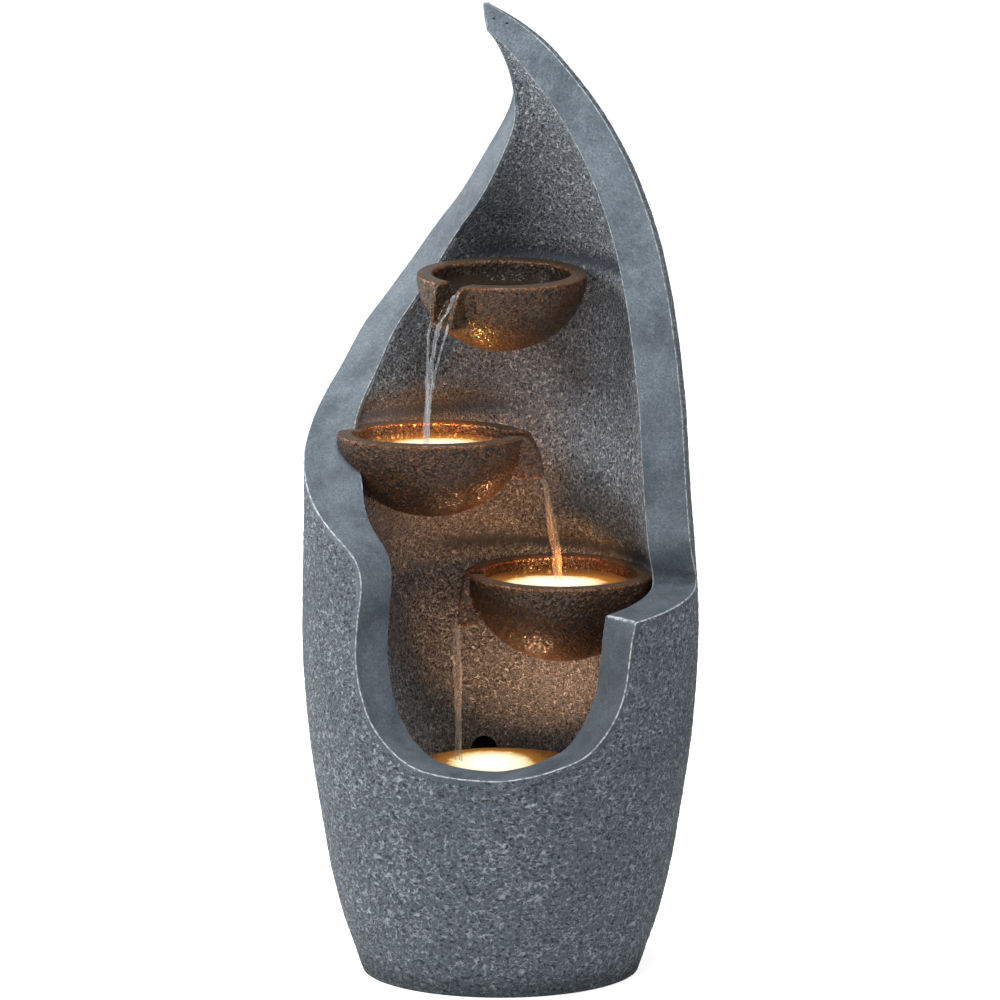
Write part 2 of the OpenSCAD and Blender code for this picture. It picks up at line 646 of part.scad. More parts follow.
module door_screw(z) {
    y1 = body_r(z) - door_out - head_t - 0.5;
    y0 = body_r(z) - frame_out - frame_t - 2;
    color([0.72, 0.72, 0.74])
        difference() {
            union() {
                rod_y(0, y0, z, door_screw_r, y1 - y0 + 1);
                rod_y(0, y1, z, head_r, head_t);
            }
            translate([-5, y1 + 1.6, z - 0.6])
                cube([10, 4, 1.2]);
        }
}
module door_screw_upper() {
    door_screw(screw_z[1]);
}
module door_screw_lower() {
    door_screw(screw_z[0]);
}

// Submersible pump, standing on the tub's floor behind the middle
foot_h = 6;
pump_gap = 1.88;
pump_back = sqrt(pow(tub_foot + tub_flare - tub_wall, 2) - pow(pump_w / 2, 2)) - pump_gap;
pump_y = [pump_back - pump_l, pump_back];
pump_z = base_t + tub_floor + foot_h;
axle_z = pump_z + 19;
rotor_r = 6.5;
volute_d = 11;
shaft_r = 1;
nozzle_y = pump_y[0] + 10;
module pump_body() {
    color([0.1, 0.1, 0.12])
        difference() {
            union() {
                translate([-pump_w / 2, pump_y[0], pump_z])
                    cube([pump_w, pump_l, pump_h]);
                for (k = [-1 : 1])
                    translate([-pump_w / 2 + 4, pump_y[1] - 22 + 8 * k, pump_z + pump_h - 1])
                        cube([pump_w - 8, 3, 3]);
            }
            rod_y(0, pump_y[0] - 1, axle_z, impeller_r + 2, volute_d + 1);
            rod_y(0, pump_y[0], axle_z, rotor_r + 0.6, pump_l - 10);
            rod_y(0, pump_y[0], axle_z, shaft_r, pump_l - 6);
            translate([0, nozzle_y, axle_z])
                cylinder(r = 5, h = pump_h);
            translate([0, nozzle_y, pump_z + pump_h - 9])
                cylinder(r = nozzle_r, h = 20);
        }
}
nozzle_r = 7.5;
nozzle_h = 30;
module pump_nozzle() {
    color([0.12, 0.12, 0.14])
        translate([0, nozzle_y, pump_z + pump_h - 9])
            difference() {
                union() {
                    cylinder(r = hose_bore_r - hose_fit, h = nozzle_h);
                    cylinder(r = nozzle_r - 0.02, h = 12);
                }
                translate([0, 0, -1])
                    cylinder(r = hose_bore_r - 2, h = nozzle_h + 2);
            }
}
cover_t = 5;
module pump_cover() {
    color([0.13, 0.13, 0.15])
        difference() {
            union() {
                translate([-pump_w / 2, pump_y[0] - cover_t - play, pump_z])
                    cube([pump_w, cover_t, pump_h]);
                rod_y(0, pump_y[0] - cover_t, axle_z, 3, cover_t + 1);
            }
            rod_y(0, pump_y[0] - 3, axle_z, shaft_r + 0.1, 10);
            for (k = [-3 : 3])
                if (abs(k) > 0.5)
                    translate([k * 5.5 - 1, pump_y[0] - 20, pump_z + 5])
                        cube([2, 40, 26]);
            rod_y(knob_x, pump_y[0] - 20, knob_z, knob_pin_r + 0.1, 40);
        }
}
knob_x = 12;
knob_z = pump_z + pump_h - 8;
knob_pin_r = 2;
module pump_flow_knob() {
    y = pump_y[0] - cover_t - play;
    color([0.5, 0.5, 0.52])
        union() {
            rod_y(knob_x, y - 4.2, knob_z, 6, 4);
            rod_y(knob_x, y - 1, knob_z, knob_pin_r, cover_t + 0.5);
            translate([knob_x - 1, y - 7, knob_z - 5.5])
                cube([2, 4, 11]);
        }
}
module pump_impeller() {
    bore = shaft_r + shaft_gap;
    color([0.6, 0.62, 0.65])
        difference() {
            union() {
                rod_y(0, pump_y[0] + 2, axle_z, 3.5, 9);
                rod_y(0, pump_y[0] + 9, axle_z, rotor_r, pump_l - 22);
                for (k = [0 : 5])
                    translate([0, pump_y[0] + 2, axle_z])
                        rotate([0, 60 * k, 0])
                            translate([2, 0, -0.8])
                                cube([impeller_r - 2, 8, 1.6]);
            }
            rod_y(0, pump_y[0] - 5, axle_z, bore, pump_l + 10);
        }
}
module pump_shaft() {
    color([0.92, 0.92, 0.9])
        rod_y(0, pump_y[0] - 2.5, axle_z, shaft_r, pump_l - 3.5);
}
module pump_feet() {
    color([0.07, 0.07, 0.08])
        for (x = [-15, 15], y = [pump_y[0] + 8, pump_y[1] - 12])
            translate([x, y, base_t + tub_floor]) {
                cylinder(r1 = 6, r2 = 3.5, h = 4);
                cylinder(r = 3.5, h = foot_h);
            }
}

// Riser hose from the pump to the top bowl, over the back of the grotto wall
inlet_r = 8;
inlet_y = [wall_y(hole_top[0], hole_top[1]) - 14, wall_y(hole_top[0], hole_top[1]) + 26];
hose_top = [hole_top[0], inlet_y[1] - 10, hole_top[1]];
hose_low = [0, nozzle_y, pump_z + pump_h + 5];
hose_points = [hose_low, hose_low + [0, 0, 18], hose_low + [0, 0, 28], [0, 90, 118],
    [0, 111, 136], [0, 124, 160], [0, 134, 190],
    [0, 142, 240], [0, 153, 320], [0, 168, 400], [0, 168, 480], [0, 165, 560], [2, 162, 630],
    [8, 160, 668], hose_top + [0, 12, -4], hose_top];
module riser_hose() {
    p = route(hose_points, 3);
    m = len(p) - 1;
    t = [for (i = [0 : m]) i == 0 ? [0, 0, 1] : i == m ? [0, -1, 0] : along(p, i)];
    inner = [for (i = [0 : m]) hoop(p[i], t[i], hose_bore_r + 0.6, 10)];
    outer = [for (i = [0 : m]) hoop(p[i], t[i], hose_r, 10)];
    color([0.2, 0.22, 0.22])
        loft(concat(outer, [for (i = [m : -1 : 0]) inner[i]]), true, true);
}
module hose_clamps() {
    color([0.72, 0.72, 0.74])
        translate(hose_low + [0, 0, 6])
            difference() {
                cylinder(r = hose_r + 1.4, h = 8);
                translate([0, 0, -1])
                    cylinder(r = hose_r + 0.2, h = 10);
            }
}
module bowl_inlet() {
    color([0.12, 0.12, 0.14])
        difference() {
            rod_y(hole_top[0], inlet_y[0], hole_top[1], inlet_r, inlet_y[1] - inlet_y[0] - 11);
            rod_y(hole_top[0], inlet_y[0] - 5, hole_top[1], inlet_r - 2.5, 80);
        }
}

// Lamps under water: housing, lens, lead and the grommet where the lead leaves
lens_r = lamp_r - 3;
lens_sink = 3;
grommet_r = 5;
function lowest_in(b) = b[0] + [0, 0, bowl_floor - b[3]];
lamp_middle_at = lowest_in(middle_bowl);
lamp_lower_at = lowest_in(lower_bowl);
lamp_basin_at = [basin_lamp[0], basin_lamp[1], basin_z];
module lamp_housing(p) {
    color([0.16, 0.16, 0.18])
        translate(p + [0, 0, play])
            difference() {
                cylinder(r = lamp_r, h = lamp_h);
                translate([0, 0, lamp_h - lens_sink])
                    cylinder(r = lens_r, h = lamp_h);
                rotate([-90, 0, 0])
                    translate([0, -lamp_h / 2, lamp_r - 5])
                        cylinder(r = lead_r + 0.2, h = 10);
            }
}
module lamp_lens(p) {
    color([0.98, 0.93, 0.75])
        translate(p + [0, 0, play + lamp_h - lens_sink])
            rotate_extrude()
                polygon([[0, 0], [lens_r - 0.02, 0], [lens_r - 0.02, lens_sink], [lens_r * 0.7,
                    lens_sink + 1.6], [lens_r * 0.35, lens_sink + 2.4], [0, lens_sink + 2.6]]);
}
module lamp_middle_housing() {
    lamp_housing(lamp_middle_at);
}
module lamp_middle_lens() {
    lamp_lens(lamp_middle_at);
}
module lamp_lower_housing() {
    lamp_housing(lamp_lower_at);
}
module lamp_lower_lens() {
    lamp_lens(lamp_lower_at);
}
module lamp_basin_housing() {
    lamp_housing(lamp_basin_at);
}
module lamp_basin_lens() {
    lamp_lens(lamp_basin_at);
}
lead_z = play + lamp_h / 2;
middle_back = wall_y(lamp_middle_at[0], lamp_middle_at[2] + lead_z);
lower_back = wall_y(lamp_lower_at[0], lamp_lower_at[2] + lead_z);
wall_leads = [[lamp_middle_at[0], middle_back - 30, lamp_middle_at[2] + lead_z],
    [lamp_lower_at[0], lower_back - 30, lamp_lower_at[2] + lead_z]];
module lead_grommets() {
    color([0.07, 0.07, 0.08]) {
        for (q = [[lamp_middle_at, middle_back], [lamp_lower_at, lower_back]])
            difference() {
                rod_y(q[0][0], q[1] - bowl_skin - 3, q[0][2] + lead_z, grommet_r, bowl_skin - 3);
                rod_y(q[0][0], q[1] - 40, q[0][2] + lead_z, lead_r + 0.3, 60);
            }
        translate([lead_drop[0], lead_drop[1], basin_z - basin_t - 1])
            difference() {
                cylinder(r = grommet_r, h = basin_t + 2);
                translate([0, 0, -1])
                    cylinder(r = lead_r + 0.7, h = basin_t + 4);
            }
    }
}

// Leads, by points chosen by hand, to the splitter behind the grotto wall
splitter_a = 112;
splitter_z = [262, 282];
splitter_r = [wall_r(splitter_a, splitter_z[0]) + wall_t + 6,
    wall_r(splitter_a, splitter_z[0]) + wall_t + 22];
splitter_w = 36;
function splitter_at(u, v, z) = let (r = blend(splitter_r[0], splitter_r[1], v)) [
    r * cos(splitter_a) + u * sin(splitter_a), r * sin(splitter_a) - u * cos(splitter_a), z];
module lead_splitter() {
    color([0.09, 0.09, 0.1])
        rotate([0, 0, splitter_a - 90])
            translate([-splitter_w / 2, splitter_r[0], splitter_z[0]])
                cube([splitter_w, splitter_r[1] - splitter_r[0], splitter_z[1] - splitter_z[0]]);
}
function lamp_exit(p) = [p[0], p[1] + lamp_r - 2.8, p[2] + lead_z];
function drop_to(u, z, up) = [for (h = [16, 8, 0.3]) splitter_at(u, 0.5, z + up * h)];
lead_middle_points = concat([lamp_exit(lamp_middle_at), lamp_exit(lamp_middle_at) + [0, 9, 0],
    [lamp_middle_at[0], middle_back + 12, lamp_middle_at[2] + lead_z],
    [lamp_middle_at[0], middle_back + 20, lamp_middle_at[2] + lead_z], [-76, 138, 460],
    [-70, 146, 420], [-62, 148, 360], [-58, 140, 315]], drop_to(-10, splitter_z[1], 1));
lead_lower_points = concat([lamp_exit(lamp_lower_at), lamp_exit(lamp_lower_at) + [0, 9, 0],
    [lamp_lower_at[0], lower_back + 12, lamp_lower_at[2] + lead_z],
    [lamp_lower_at[0], lower_back + 20, lamp_lower_at[2] + lead_z], [58, 134, 328],
    [36, 160, 322], [8, 167, 318], [-20, 162, 314], [-38, 144, 308]],
    drop_to(8, splitter_z[1], 1));
lead_basin_points = concat([lamp_exit(lamp_basin_at),
    [lead_drop[0], lead_drop[1] - 6, basin_z + lead_z], [lead_drop[0], lead_drop[1], basin_z],
    [lead_drop[0], lead_drop[1], 138], [-26, 90, 128], [-42, 118, 136], [-50, 128, 165],
    [-52, 130, 205]], drop_to(-10, splitter_z[0], -1));
pump_lead_y = pump_y[1] - 13;
pump_lead_points = concat([[-pump_w / 2 - 0.6, pump_lead_y, pump_z + 30],
    [-pump_w / 2 - 5, pump_lead_y, pump_z + 30],
    [-33, 108, 62], [-34, 116, 86], [-34, 132, 140], [-34, 136, 200]],
    drop_to(8, splitter_z[0], -1));
module lead(points) {
    color([0.07, 0.07, 0.08])
        tube(points, lead_r);
}
module lamp_lead_middle() {
    lead(lead_middle_points);
}
module lamp_lead_lower() {
    lead(lead_lower_points);
}
module lamp_lead_basin() {
    lead(lead_basin_points);
}
module pump_lead() {
    lead(pump_lead_points);
}

outer_shell();
rim_band();
grotto_wall();
bowl_top();
bowl_middle();
bowl_lower();
bowl_bolts();
basin_floor();
reservoir_tub();
tub_posts();
base_plate();
base_blocks();
base_screws();
service_plate();
cord_grommet();
drain_plug();
door_frame();
door_gasket();
door_inserts();
access_door();
door_screw_upper();
door_screw_lower();
pump_body();
pump_cover();
pump_impeller();
pump_shaft();
pump_flow_knob();
pump_nozzle();
pump_feet();
riser_hose();
hose_clamps();
bowl_inlet();
lamp_middle_housing();
lamp_middle_lens();
lamp_lower_housing();
lamp_lower_lens();
lamp_basin_housing();
lamp_basin_lens();
lead_grommets();
lamp_lead_middle();
lamp_lead_lower();
lamp_lead_basin();
pump_lead();
lead_splitter();
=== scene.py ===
# Looks of a tiered cascade fountain: slate vase with a leaf tip, bronze bowls, lit water.
# Lengths are in millimetres until a mesh is made, and every mesh is in metres.
import json
import math

import bmesh
import bpy
import numpy as np
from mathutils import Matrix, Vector


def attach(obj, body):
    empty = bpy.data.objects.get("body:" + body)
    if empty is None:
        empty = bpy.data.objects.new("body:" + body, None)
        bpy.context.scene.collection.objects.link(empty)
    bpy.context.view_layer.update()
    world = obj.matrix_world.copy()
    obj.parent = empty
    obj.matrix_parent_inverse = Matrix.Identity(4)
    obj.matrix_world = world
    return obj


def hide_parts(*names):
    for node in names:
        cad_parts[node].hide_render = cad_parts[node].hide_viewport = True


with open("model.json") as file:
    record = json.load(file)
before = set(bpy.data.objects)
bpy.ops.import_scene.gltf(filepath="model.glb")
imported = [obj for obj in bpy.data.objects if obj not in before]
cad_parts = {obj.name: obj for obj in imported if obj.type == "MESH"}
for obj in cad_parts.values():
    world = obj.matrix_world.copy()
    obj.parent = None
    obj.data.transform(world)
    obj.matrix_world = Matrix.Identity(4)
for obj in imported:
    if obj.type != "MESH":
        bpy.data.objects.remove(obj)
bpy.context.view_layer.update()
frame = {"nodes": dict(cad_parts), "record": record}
MM = 0.001
RAD = math.pi / 180

# Shape of the vase: the same tables as the part's source, smoothed more finely.
# Body radius and the lean of its axis by height, then the cut edges as angle and height.
BODY_PROFILE = [[-30, 127], [0, 141], [28, 150], [49, 158], [70, 164], [111, 174], [153, 181],
                [195, 188], [236, 194], [278, 198], [320, 201], [361, 202], [403, 201], [445, 199],
                [487, 197], [528, 196], [590, 195], [643, 190], [695, 175], [747, 156], [778, 138],
                [799, 127], [820, 117], [862, 96], [900, 84], [927, 74], [955, 63], [974, 46],
                [990, 27], [1000, 6], [1012, -8]]
LEAN_X = [[0, 0], [380, 0], [450, -1.5], [590, -6.5], [643, -7.5], [680, -1.5], [747, 8.5],
          [778, 18.5], [820, 23.5], [862, 24.5], [900, 12.5], [927, 1.5], [955, -11.5],
          [974, -16.5], [990, -20], [1000, -21]]
LEAN_Y = [[0, 0], [700, 0], [850, 10], [1000, 15]]
RIGHT_EDGE = [[-90, 238], [-86, 240], [-78, 244], [-70, 252], [-64, 258], [-60, 270], [-55, 290],
              [-51.5, 315], [-50, 344], [-49, 372], [-47, 393], [-40, 394.5], [-33, 396],
              [-24, 398], [-16, 400], [-9, 402], [-4, 404], [-4, 411], [-7, 420], [-10, 432],
              [-12, 446], [-12, 1000]]
LEFT_EDGE = [[270, 238], [257, 240], [245, 245], [239, 254], [234, 267], [229, 285], [227, 297],
             [224, 328], [223, 357], [224, 393], [226, 430], [224, 454], [218, 467], [210, 479],
             [198, 496], [189, 511], [180, 528], [168, 546], [154, 575], [144, 600], [138, 625],
             [130, 664], [123.5, 705], [118, 747], [114.5, 792], [111.7, 815], [108, 837],
             [103, 858], [96, 877], [92.5, 887], [86.6, 907], [82, 918], [77, 929], [74, 939],
             [68, 950], [66, 960], [50, 974], [32, 1000]]
# How far the grotto wall stands in front of the band's inner edge, by height
STAND = [[150, 48], [205, 46], [300, 36], [360, 26], [392, 8], [430, 8], [470, 26], [515, 28],
         [545, 20], [575, 20], [640, 14], [700, 3], [730, 0]]
# Swells of the wall that carry the bowls: angle, height and depth
SWELLS = [[88, 655, 24], [122, 480, 18], [62, 345, 24]]
# Sharp corner where the shelf meets the low opening: angle and height
SHELF_CORNER = (-47, 393.5)
BAND = 45
WALL_T = 6
TIP_Z = 1000
WATER_Z = 205
DOOR_Z = (250, 350)
DOOR_A = (72, 108)
SERVICE_Z = (16, 44)
SERVICE_A = (81, 99)
# Holes along Y, as x, y, z and radius
TIP_HOLES = ((-6.6, -2.1, 984.4, 1.2), (6.6, -4.8, 980.2, 1.2))
RETURN_HOLE = (-17, 60, 204, 13.7)
CAST_RELIEF = 1.15
WEAR_GAIN = 2.2
HEIGHTS = np.arange(-60.0, 1080.0)


def gauss(values, sigma):
    """Values smoothed along their first axis; the ends carry straight on."""
    half = int(3 * sigma) + 1
    kernel = np.exp(-0.5 * (np.arange(-half, half + 1) / sigma) ** 2)
    kernel /= kernel.sum()
    steps = np.arange(half, 0, -1)[:, None]
    v = values.reshape(len(values), -1)
    low = v[0] - (v[1] - v[0]) * steps
    high = v[-1] + (v[-1] - v[-2]) * steps[::-1]
    v = np.concatenate([low, v, high])
    out = np.stack([np.convolve(c, kernel, "valid") for c in v.T], 1)
    return out.reshape(values.shape)


def curve(points, sigma):
    """Function of height through a table, smoothed over sigma millimetres."""
    smooth = gauss(np.interp(HEIGHTS, *np.array(points, float).T), sigma)
    return lambda z: np.interp(z, HEIGHTS, smooth)


body_r = curve(BODY_PROFILE, 9)
lean_x = curve(LEAN_X, 14)
lean_y = curve(LEAN_Y, 20)
stand = curve(STAND, 12)


def inner_r(z):
    return np.maximum(body_r(z) - BAND, 3)


def ramp(t):
    """Smooth step from 0 to 1."""
    c = np.clip(t, 0, 1)
    return c * c * (3 - 2 * c)


def edge_at(z, edge):
    """Angle of a cut edge at a height."""
    e = np.array(edge, float)
    return np.interp(z, e[:, 1], e[:, 0])


def from_edges(a, z, w0, w1):
    """1 between the cut edges, falling to 0 over w0 and w1 degrees at the right and left."""
    return (ramp((a - np.maximum(edge_at(z, RIGHT_EDGE), -15)) / w0)
            * ramp((np.minimum(edge_at(z, LEFT_EDGE), 205) - a) / w1))


# Bowls: centre of the rim, half-width, half-depth, height, and the spout's direction, reach
# and drop
BOWLS = {
    "bowl_top": ((1.5, 45, 714), 87, 76, 80, 228, 14, 44),
    "bowl_middle": ((-70.5, 22, 552), 96, 64.5, 86, 0, 19, 45),
    "bowl_lower": ((63, 30, 406), 97, 84.6, 92, 180, 10, 54),
}
BOWL_RIM = 16.5
BOWL_FLOOR = 18
POOL_T = 5
SPOUT_W = 34
SPOUT_CHEEK = 6
SPOUT_FLARE = 6
# Soft niche above each bowl's rim: first and last angle, and height
NICHES = [(20, 92, 722), (100, 172, 562), (-2, 100, 417)]
NICHE_DEPTH = 5


def wall_r(a, z):
    """Radius of the grotto wall's face."""
    swell = sum(s[2] * np.exp(-((a - s[0]) / 30) ** 2 - ((z - s[1]) / 40) ** 2) for s in SWELLS)
    r = inner_r(z) - from_edges(a, z, 60, 50) * stand(z) - from_edges(a, z, 15, 15) * swell
    for a0, a1, z0 in NICHES:
        across = ramp((a - a0 + 25) / 25) * ramp((a1 + 25 - a) / 25)
        r = r + NICHE_DEPTH * across * np.exp(-((z - z0) / 11) ** 2) * from_edges(a, z, 12, 12)
    return r


def at(r, a, z):
    """Points at a radius and angle about the leaning axis."""
    return np.stack([lean_x(z) + r * np.cos(a * RAD), lean_y(z) + r * np.sin(a * RAD), z], -1)


# Seeded gradient noise, for relief in the meshes
def noise3(p, seed):
    cell = np.floor(p).astype(np.int64)
    f = p - cell
    u = f * f * f * (f * (f * 6 - 15) + 10)
    total = np.zeros(len(p))
    for k in range(8):
        d = np.array([k & 1, k >> 1 & 1, k >> 2])
        c = cell + d
        n = (c[:, 0] * 73856093) ^ (c[:, 1] * 19349663) ^ (c[:, 2] * 83492791) ^ (seed * 40503)
        n = (n & 0x7FFFFFFF) * 48271 % 2147483647
        n = (n ^ (n >> 11)) * 69621 % 2147483647
        g = np.stack([(n >> s & 1023) / 511.5 - 1 for s in (0, 10, 20)], 1)
        w = np.prod(np.where(d, u, 1 - u), 1)
        total += w * ((f - d) * g).sum(1)
    return total * 1.5


def hammered(p, grain=8.5):
    """Leathery relief in 0..1: thin meandering ridges over a pitted ground."""
    warp = np.stack([noise3(p / (grain * 1.7), s) for s in (1, 2, 3)], 1)
    q = p + warp * grain * 0.7
    ridge = np.clip(1 - np.abs(noise3(q / grain, 11)) * 2.6, 0, 1)
    return 0.55 * ridge ** 1.5 + 0.3 * (0.5 + noise3(q / (grain * 0.55), 12)) \
        + 0.15 * (0.5 + noise3(p / (grain * 6), 13))


# Mesh helpers
def new_object(name, points, faces):
    mesh = bpy.data.meshes.new(name)
    mesh.from_pydata((np.asarray(points) * MM).tolist(), [], faces)
    mesh.validate()
    bm = bmesh.new()
    bm.from_mesh(mesh)
    bmesh.ops.recalc_face_normals(bm, faces=bm.faces)
    bm.to_mesh(mesh)
    bm.free()
    mesh.polygons.foreach_set("use_smooth", [True] * len(mesh.polygons))
    obj = bpy.data.objects.new(name, mesh)
    bpy.context.scene.collection.objects.link(obj)
    return obj


def bridge(a, b):
    """Triangles between two rows of point numbers, a below b and both left to right."""
    faces, i, j, n, m = [], 0, 0, len(a) - 1, len(b) - 1
    while i < n or j < m:
        if j == m or (i < n and (i + 1) * m <= (j + 1) * n):
            if a[i] != a[i + 1]:
                faces.append((a[i], a[i + 1], b[j]))
            i += 1
        else:
            if b[j] != b[j + 1]:
                faces.append((a[i], b[j + 1], b[j]))
            j += 1
    return faces


def strip(a, b):
    """Faces between two rows of point numbers: four-sided where the rows are as long."""
    if len(a) != len(b):
        return bridge(a, b)
    return [(a[i], a[i + 1], b[i + 1], b[i]) for i in range(len(a) - 1)]


def prism(n):
    """Faces of a prism whose two ends have n points each."""
    return [tuple(range(n)), tuple(range(2 * n - 1, n - 1, -1)),
            *((i, (i + 1) % n, n + (i + 1) % n, n + i) for i in range(n))]


def modify(obj, kind, **settings):
    """Adds a modifier, and bakes it into the mesh."""
    m = obj.modifiers.new(kind, kind)
    for k, v in settings.items():
        setattr(m, k, v)
    dg = bpy.context.evaluated_depsgraph_get()
    mesh = bpy.data.meshes.new_from_object(obj.evaluated_get(dg))
    obj.modifiers.clear()
    old, obj.data = obj.data, mesh
    bpy.data.meshes.remove(old)
    mesh.name = obj.name


def combine(obj, other, how):
    modify(obj, "BOOLEAN", object=other, operation=how, solver="MANIFOLD")
    bpy.data.objects.remove(other)


def circle(sides):
    return np.arange(sides) * 2 * np.pi / sides


def cylinder_y(x, y, z, r, length, sides=40):
    ang = circle(sides)
    ring = np.stack([x + r * np.cos(ang), np.full(sides, y), z + r * np.sin(ang)], 1)
    return new_object("cutter", np.concatenate([ring, ring + [0, length, 0]]), prism(sides))


def vectors(mesh, what):
    v = np.zeros(len(mesh.vertices) * 3, np.float32)
    mesh.vertices.foreach_get(what, v)
    return v.reshape(-1, 3).astype(float)


def coords(mesh):
    return vectors(mesh, "co") / MM


def normals(mesh):
    return vectors(mesh, "normal")


def set_value(mesh, name, values):
    a = mesh.attributes.get(name) or mesh.attributes.new(name, "FLOAT", "POINT")
    a.data.foreach_set("value", np.asarray(values, np.float32))


def wear(obj, gain):
    """Keeps how far each point stands out from its neighbours, for the worn and brushed crests."""
    mesh = obj.data
    p, no = coords(mesh), normals(mesh)
    e = np.zeros(len(mesh.edges) * 2, np.int32)
    mesh.edges.foreach_get("vertices", e)
    e = e.reshape(-1, 2)
    count = np.maximum(np.bincount(e.ravel(), minlength=len(p)), 1)

    def around(v):
        out = np.zeros_like(v)
        np.add.at(out, e[:, 0], v[e[:, 1]])
        np.add.at(out, e[:, 1], v[e[:, 0]])
        return out / (count[:, None] if v.ndim > 1 else count)
    length = around(np.zeros(len(p))) + np.linalg.norm(p[e[:, 0]] - p[e[:, 1]], axis=1).mean()
    k = -((around(p) - p) * no).sum(1) / length
    k = (k + around(k)) / 2
    set_value(mesh, "worn", np.clip(k * gain, -1, 1))


# The cut edge as one path: down the left side from the tip, round the bottom, up the right
def dense(path):
    """A path of angle and height with a point at every millimetre."""
    r = body_r(path[:, 1])
    du = np.diff(path[:, 0]) * RAD * (r[1:] + r[:-1]) / 2
    s = np.concatenate([[0], np.cumsum(np.hypot(du, np.diff(path[:, 1])))])
    q = np.linspace(0, s[-1], int(s[-1]) + 1)
    return np.stack([np.interp(q, s, path[:, 0]), np.interp(q, s, path[:, 1])], 1)


def from_corner(path):
    """Distance from the shelf's corner, measured in the vase's surface."""
    return np.hypot((path[:, 0] - SHELF_CORNER[0]) * RAD * 200, path[:, 1] - SHELF_CORNER[1])


left = np.array(LEFT_EDGE, float)[::-1] - [360, 0]
whole = dense(np.concatenate([left, np.array(RIGHT_EDGE, float)[1:]]))
soft_cut, crisp_cut = gauss(whole, 10), gauss(whole, 1.5)
near = np.exp(-(from_corner(whole) / 20) ** 2)
whole = dense(soft_cut * (1 - near[:, None]) + crisp_cut * near[:, None])
bottom = int(np.argmin(np.abs(whole[:, 0] + 90) + 1000 * (whole[:, 1] > 245)))
tangent = np.gradient(gauss(whole, 1.5), axis=0)
tangent[:, 0] *= RAD * body_r(whole[:, 1])
tangent /= np.linalg.norm(tangent, axis=1)[:, None]
into = np.stack([tangent[:, 1], -tangent[:, 0]], 1)
# Near the tip the cut edges are close together, so there they are moved in less
gap_a = edge_at(whole[:, 1], LEFT_EDGE) - edge_at(whole[:, 1], RIGHT_EDGE)
room = 0.2 * body_r(whole[:, 1]) * gap_a * RAD
NARROW_Z = 700


def inset(depth):
    """The cut edge, moved into the material by a depth in millimetres."""
    d = np.minimum(depth, np.where(whole[:, 1] > NARROW_Z, room, 1e9))[:, None]
    metric = np.stack([np.full(len(whole), 1.0) / (RAD * body_r(whole[:, 1])),
                       np.ones(len(whole))], 1)
    return whole + into * metric * d


def cut_sides(depth):
    """Right and left cut edges from the bottom up, moved into the material."""
    p = inset(depth)
    return p[bottom:], p[:bottom + 1][::-1] + [360, 0]


def along(path, f):
    """Angle and height at a share of a path."""
    k = np.linspace(0, 1, len(path))
    return np.interp(f, k, path[:, 0]), np.interp(f, k, path[:, 1])


def hold(t):
    """How far a row still keeps the height of its end on the cut edge."""
    return 1 - ramp(t / 0.45) ** 1.5


def spread_rows(depth, rows, columns, low, bunch=1.0):
    """Rows of [angle, height] over the surface, from height low to the tip, each with whether
    it is closed. The closed ones below the cut repeat their first point at the end. A bunch
    over 1 brings the columns closer together towards the rows' ends, at the front."""
    right_cut, left_cut = cut_sides(depth)
    floor = right_cut[0, 1]
    out = []
    low_rows = max(2, int(round((floor - low) / ((TIP_Z - floor) / rows) * 0.8)))

    def shares(n):
        t = np.linspace(0, 1, n + 1)
        w = np.linspace(0, 1, 2001)
        d = 1 + (bunch - 1) * (ramp((0.26 - w) / 0.12) + ramp((w - 0.74) / 0.12))
        c = np.concatenate([[0], np.cumsum((d[1:] + d[:-1]) / 2)])
        return np.interp(t, c / c[-1], w)
    t = shares(columns)
    for k in range(low_rows):
        z = low + (floor - low) * k / low_rows
        out.append((np.stack([-90 + 360 * t, np.full(len(t), z)], 1), True))
    for j in range(rows + 1):
        f = j / rows
        mid = floor + (TIP_Z - floor) * f
        n = columns if mid < 520 else columns // 2 if mid < 760 else columns // 4
        t = shares(n)
        (ar, zr), (al, zl) = along(right_cut, f), along(left_cut, f)
        a = ar + (al - ar) * t
        z = mid + (zr - mid) * hold(t) + (zl - mid) * hold(1 - t)
        out.append((np.stack([a, z], 1), j == 0))
    return out


def skin(name, rows, surface, back_rows, back_surface):
    """Closed shell: a fine outer surface, a coarse inner one, and the strips between them."""
    points, faces = [], []

    def add(rows, surface):
        ids = []
        for q, ring in rows:
            first = sum(len(b) for b in points)
            p = surface(q)
            n = len(p) - 1 if ring else len(p)
            points.append(p[:n])
            ids.append(list(range(first, first + n)) + ([first] if ring else []))
        return ids
    front, back = add(rows, surface), add(back_rows, back_surface)
    for a, b in zip(front, front[1:]):
        faces += strip(a, b)
    for a, b in zip(back, back[1:]):
        faces += [f[::-1] for f in strip(a, b)]
    faces += strip(back[0], front[0])
    faces += [f[::-1] for f in strip(back[-1], front[-1])]
    k = sum(1 for _, ring in rows if ring) - 1
    kb = sum(1 for _, ring in back_rows if ring) - 1
    for end in (0, -1):
        a = [r[end] for r in front[k:]]
        b = [r[end] for r in back[kb:]]
        side = bridge(a, b)
        faces += side if end else [f[::-1] for f in side]
    return new_object(name, np.concatenate(points), faces)


def edge_fade(q, width):
    """1 inside the surface, falling to 0 at its cut edges, which closed rows don't have."""
    if abs(q[0, 0] + 90) < 1e-6 and abs(q[-1, 0] - 270) < 1e-6:
        return 1
    d = np.minimum(np.arange(len(q)), np.arange(len(q))[::-1])
    step = np.linalg.norm((q[1] - q[0]) * [RAD * 190, 1])
    return ramp(d * step / width)


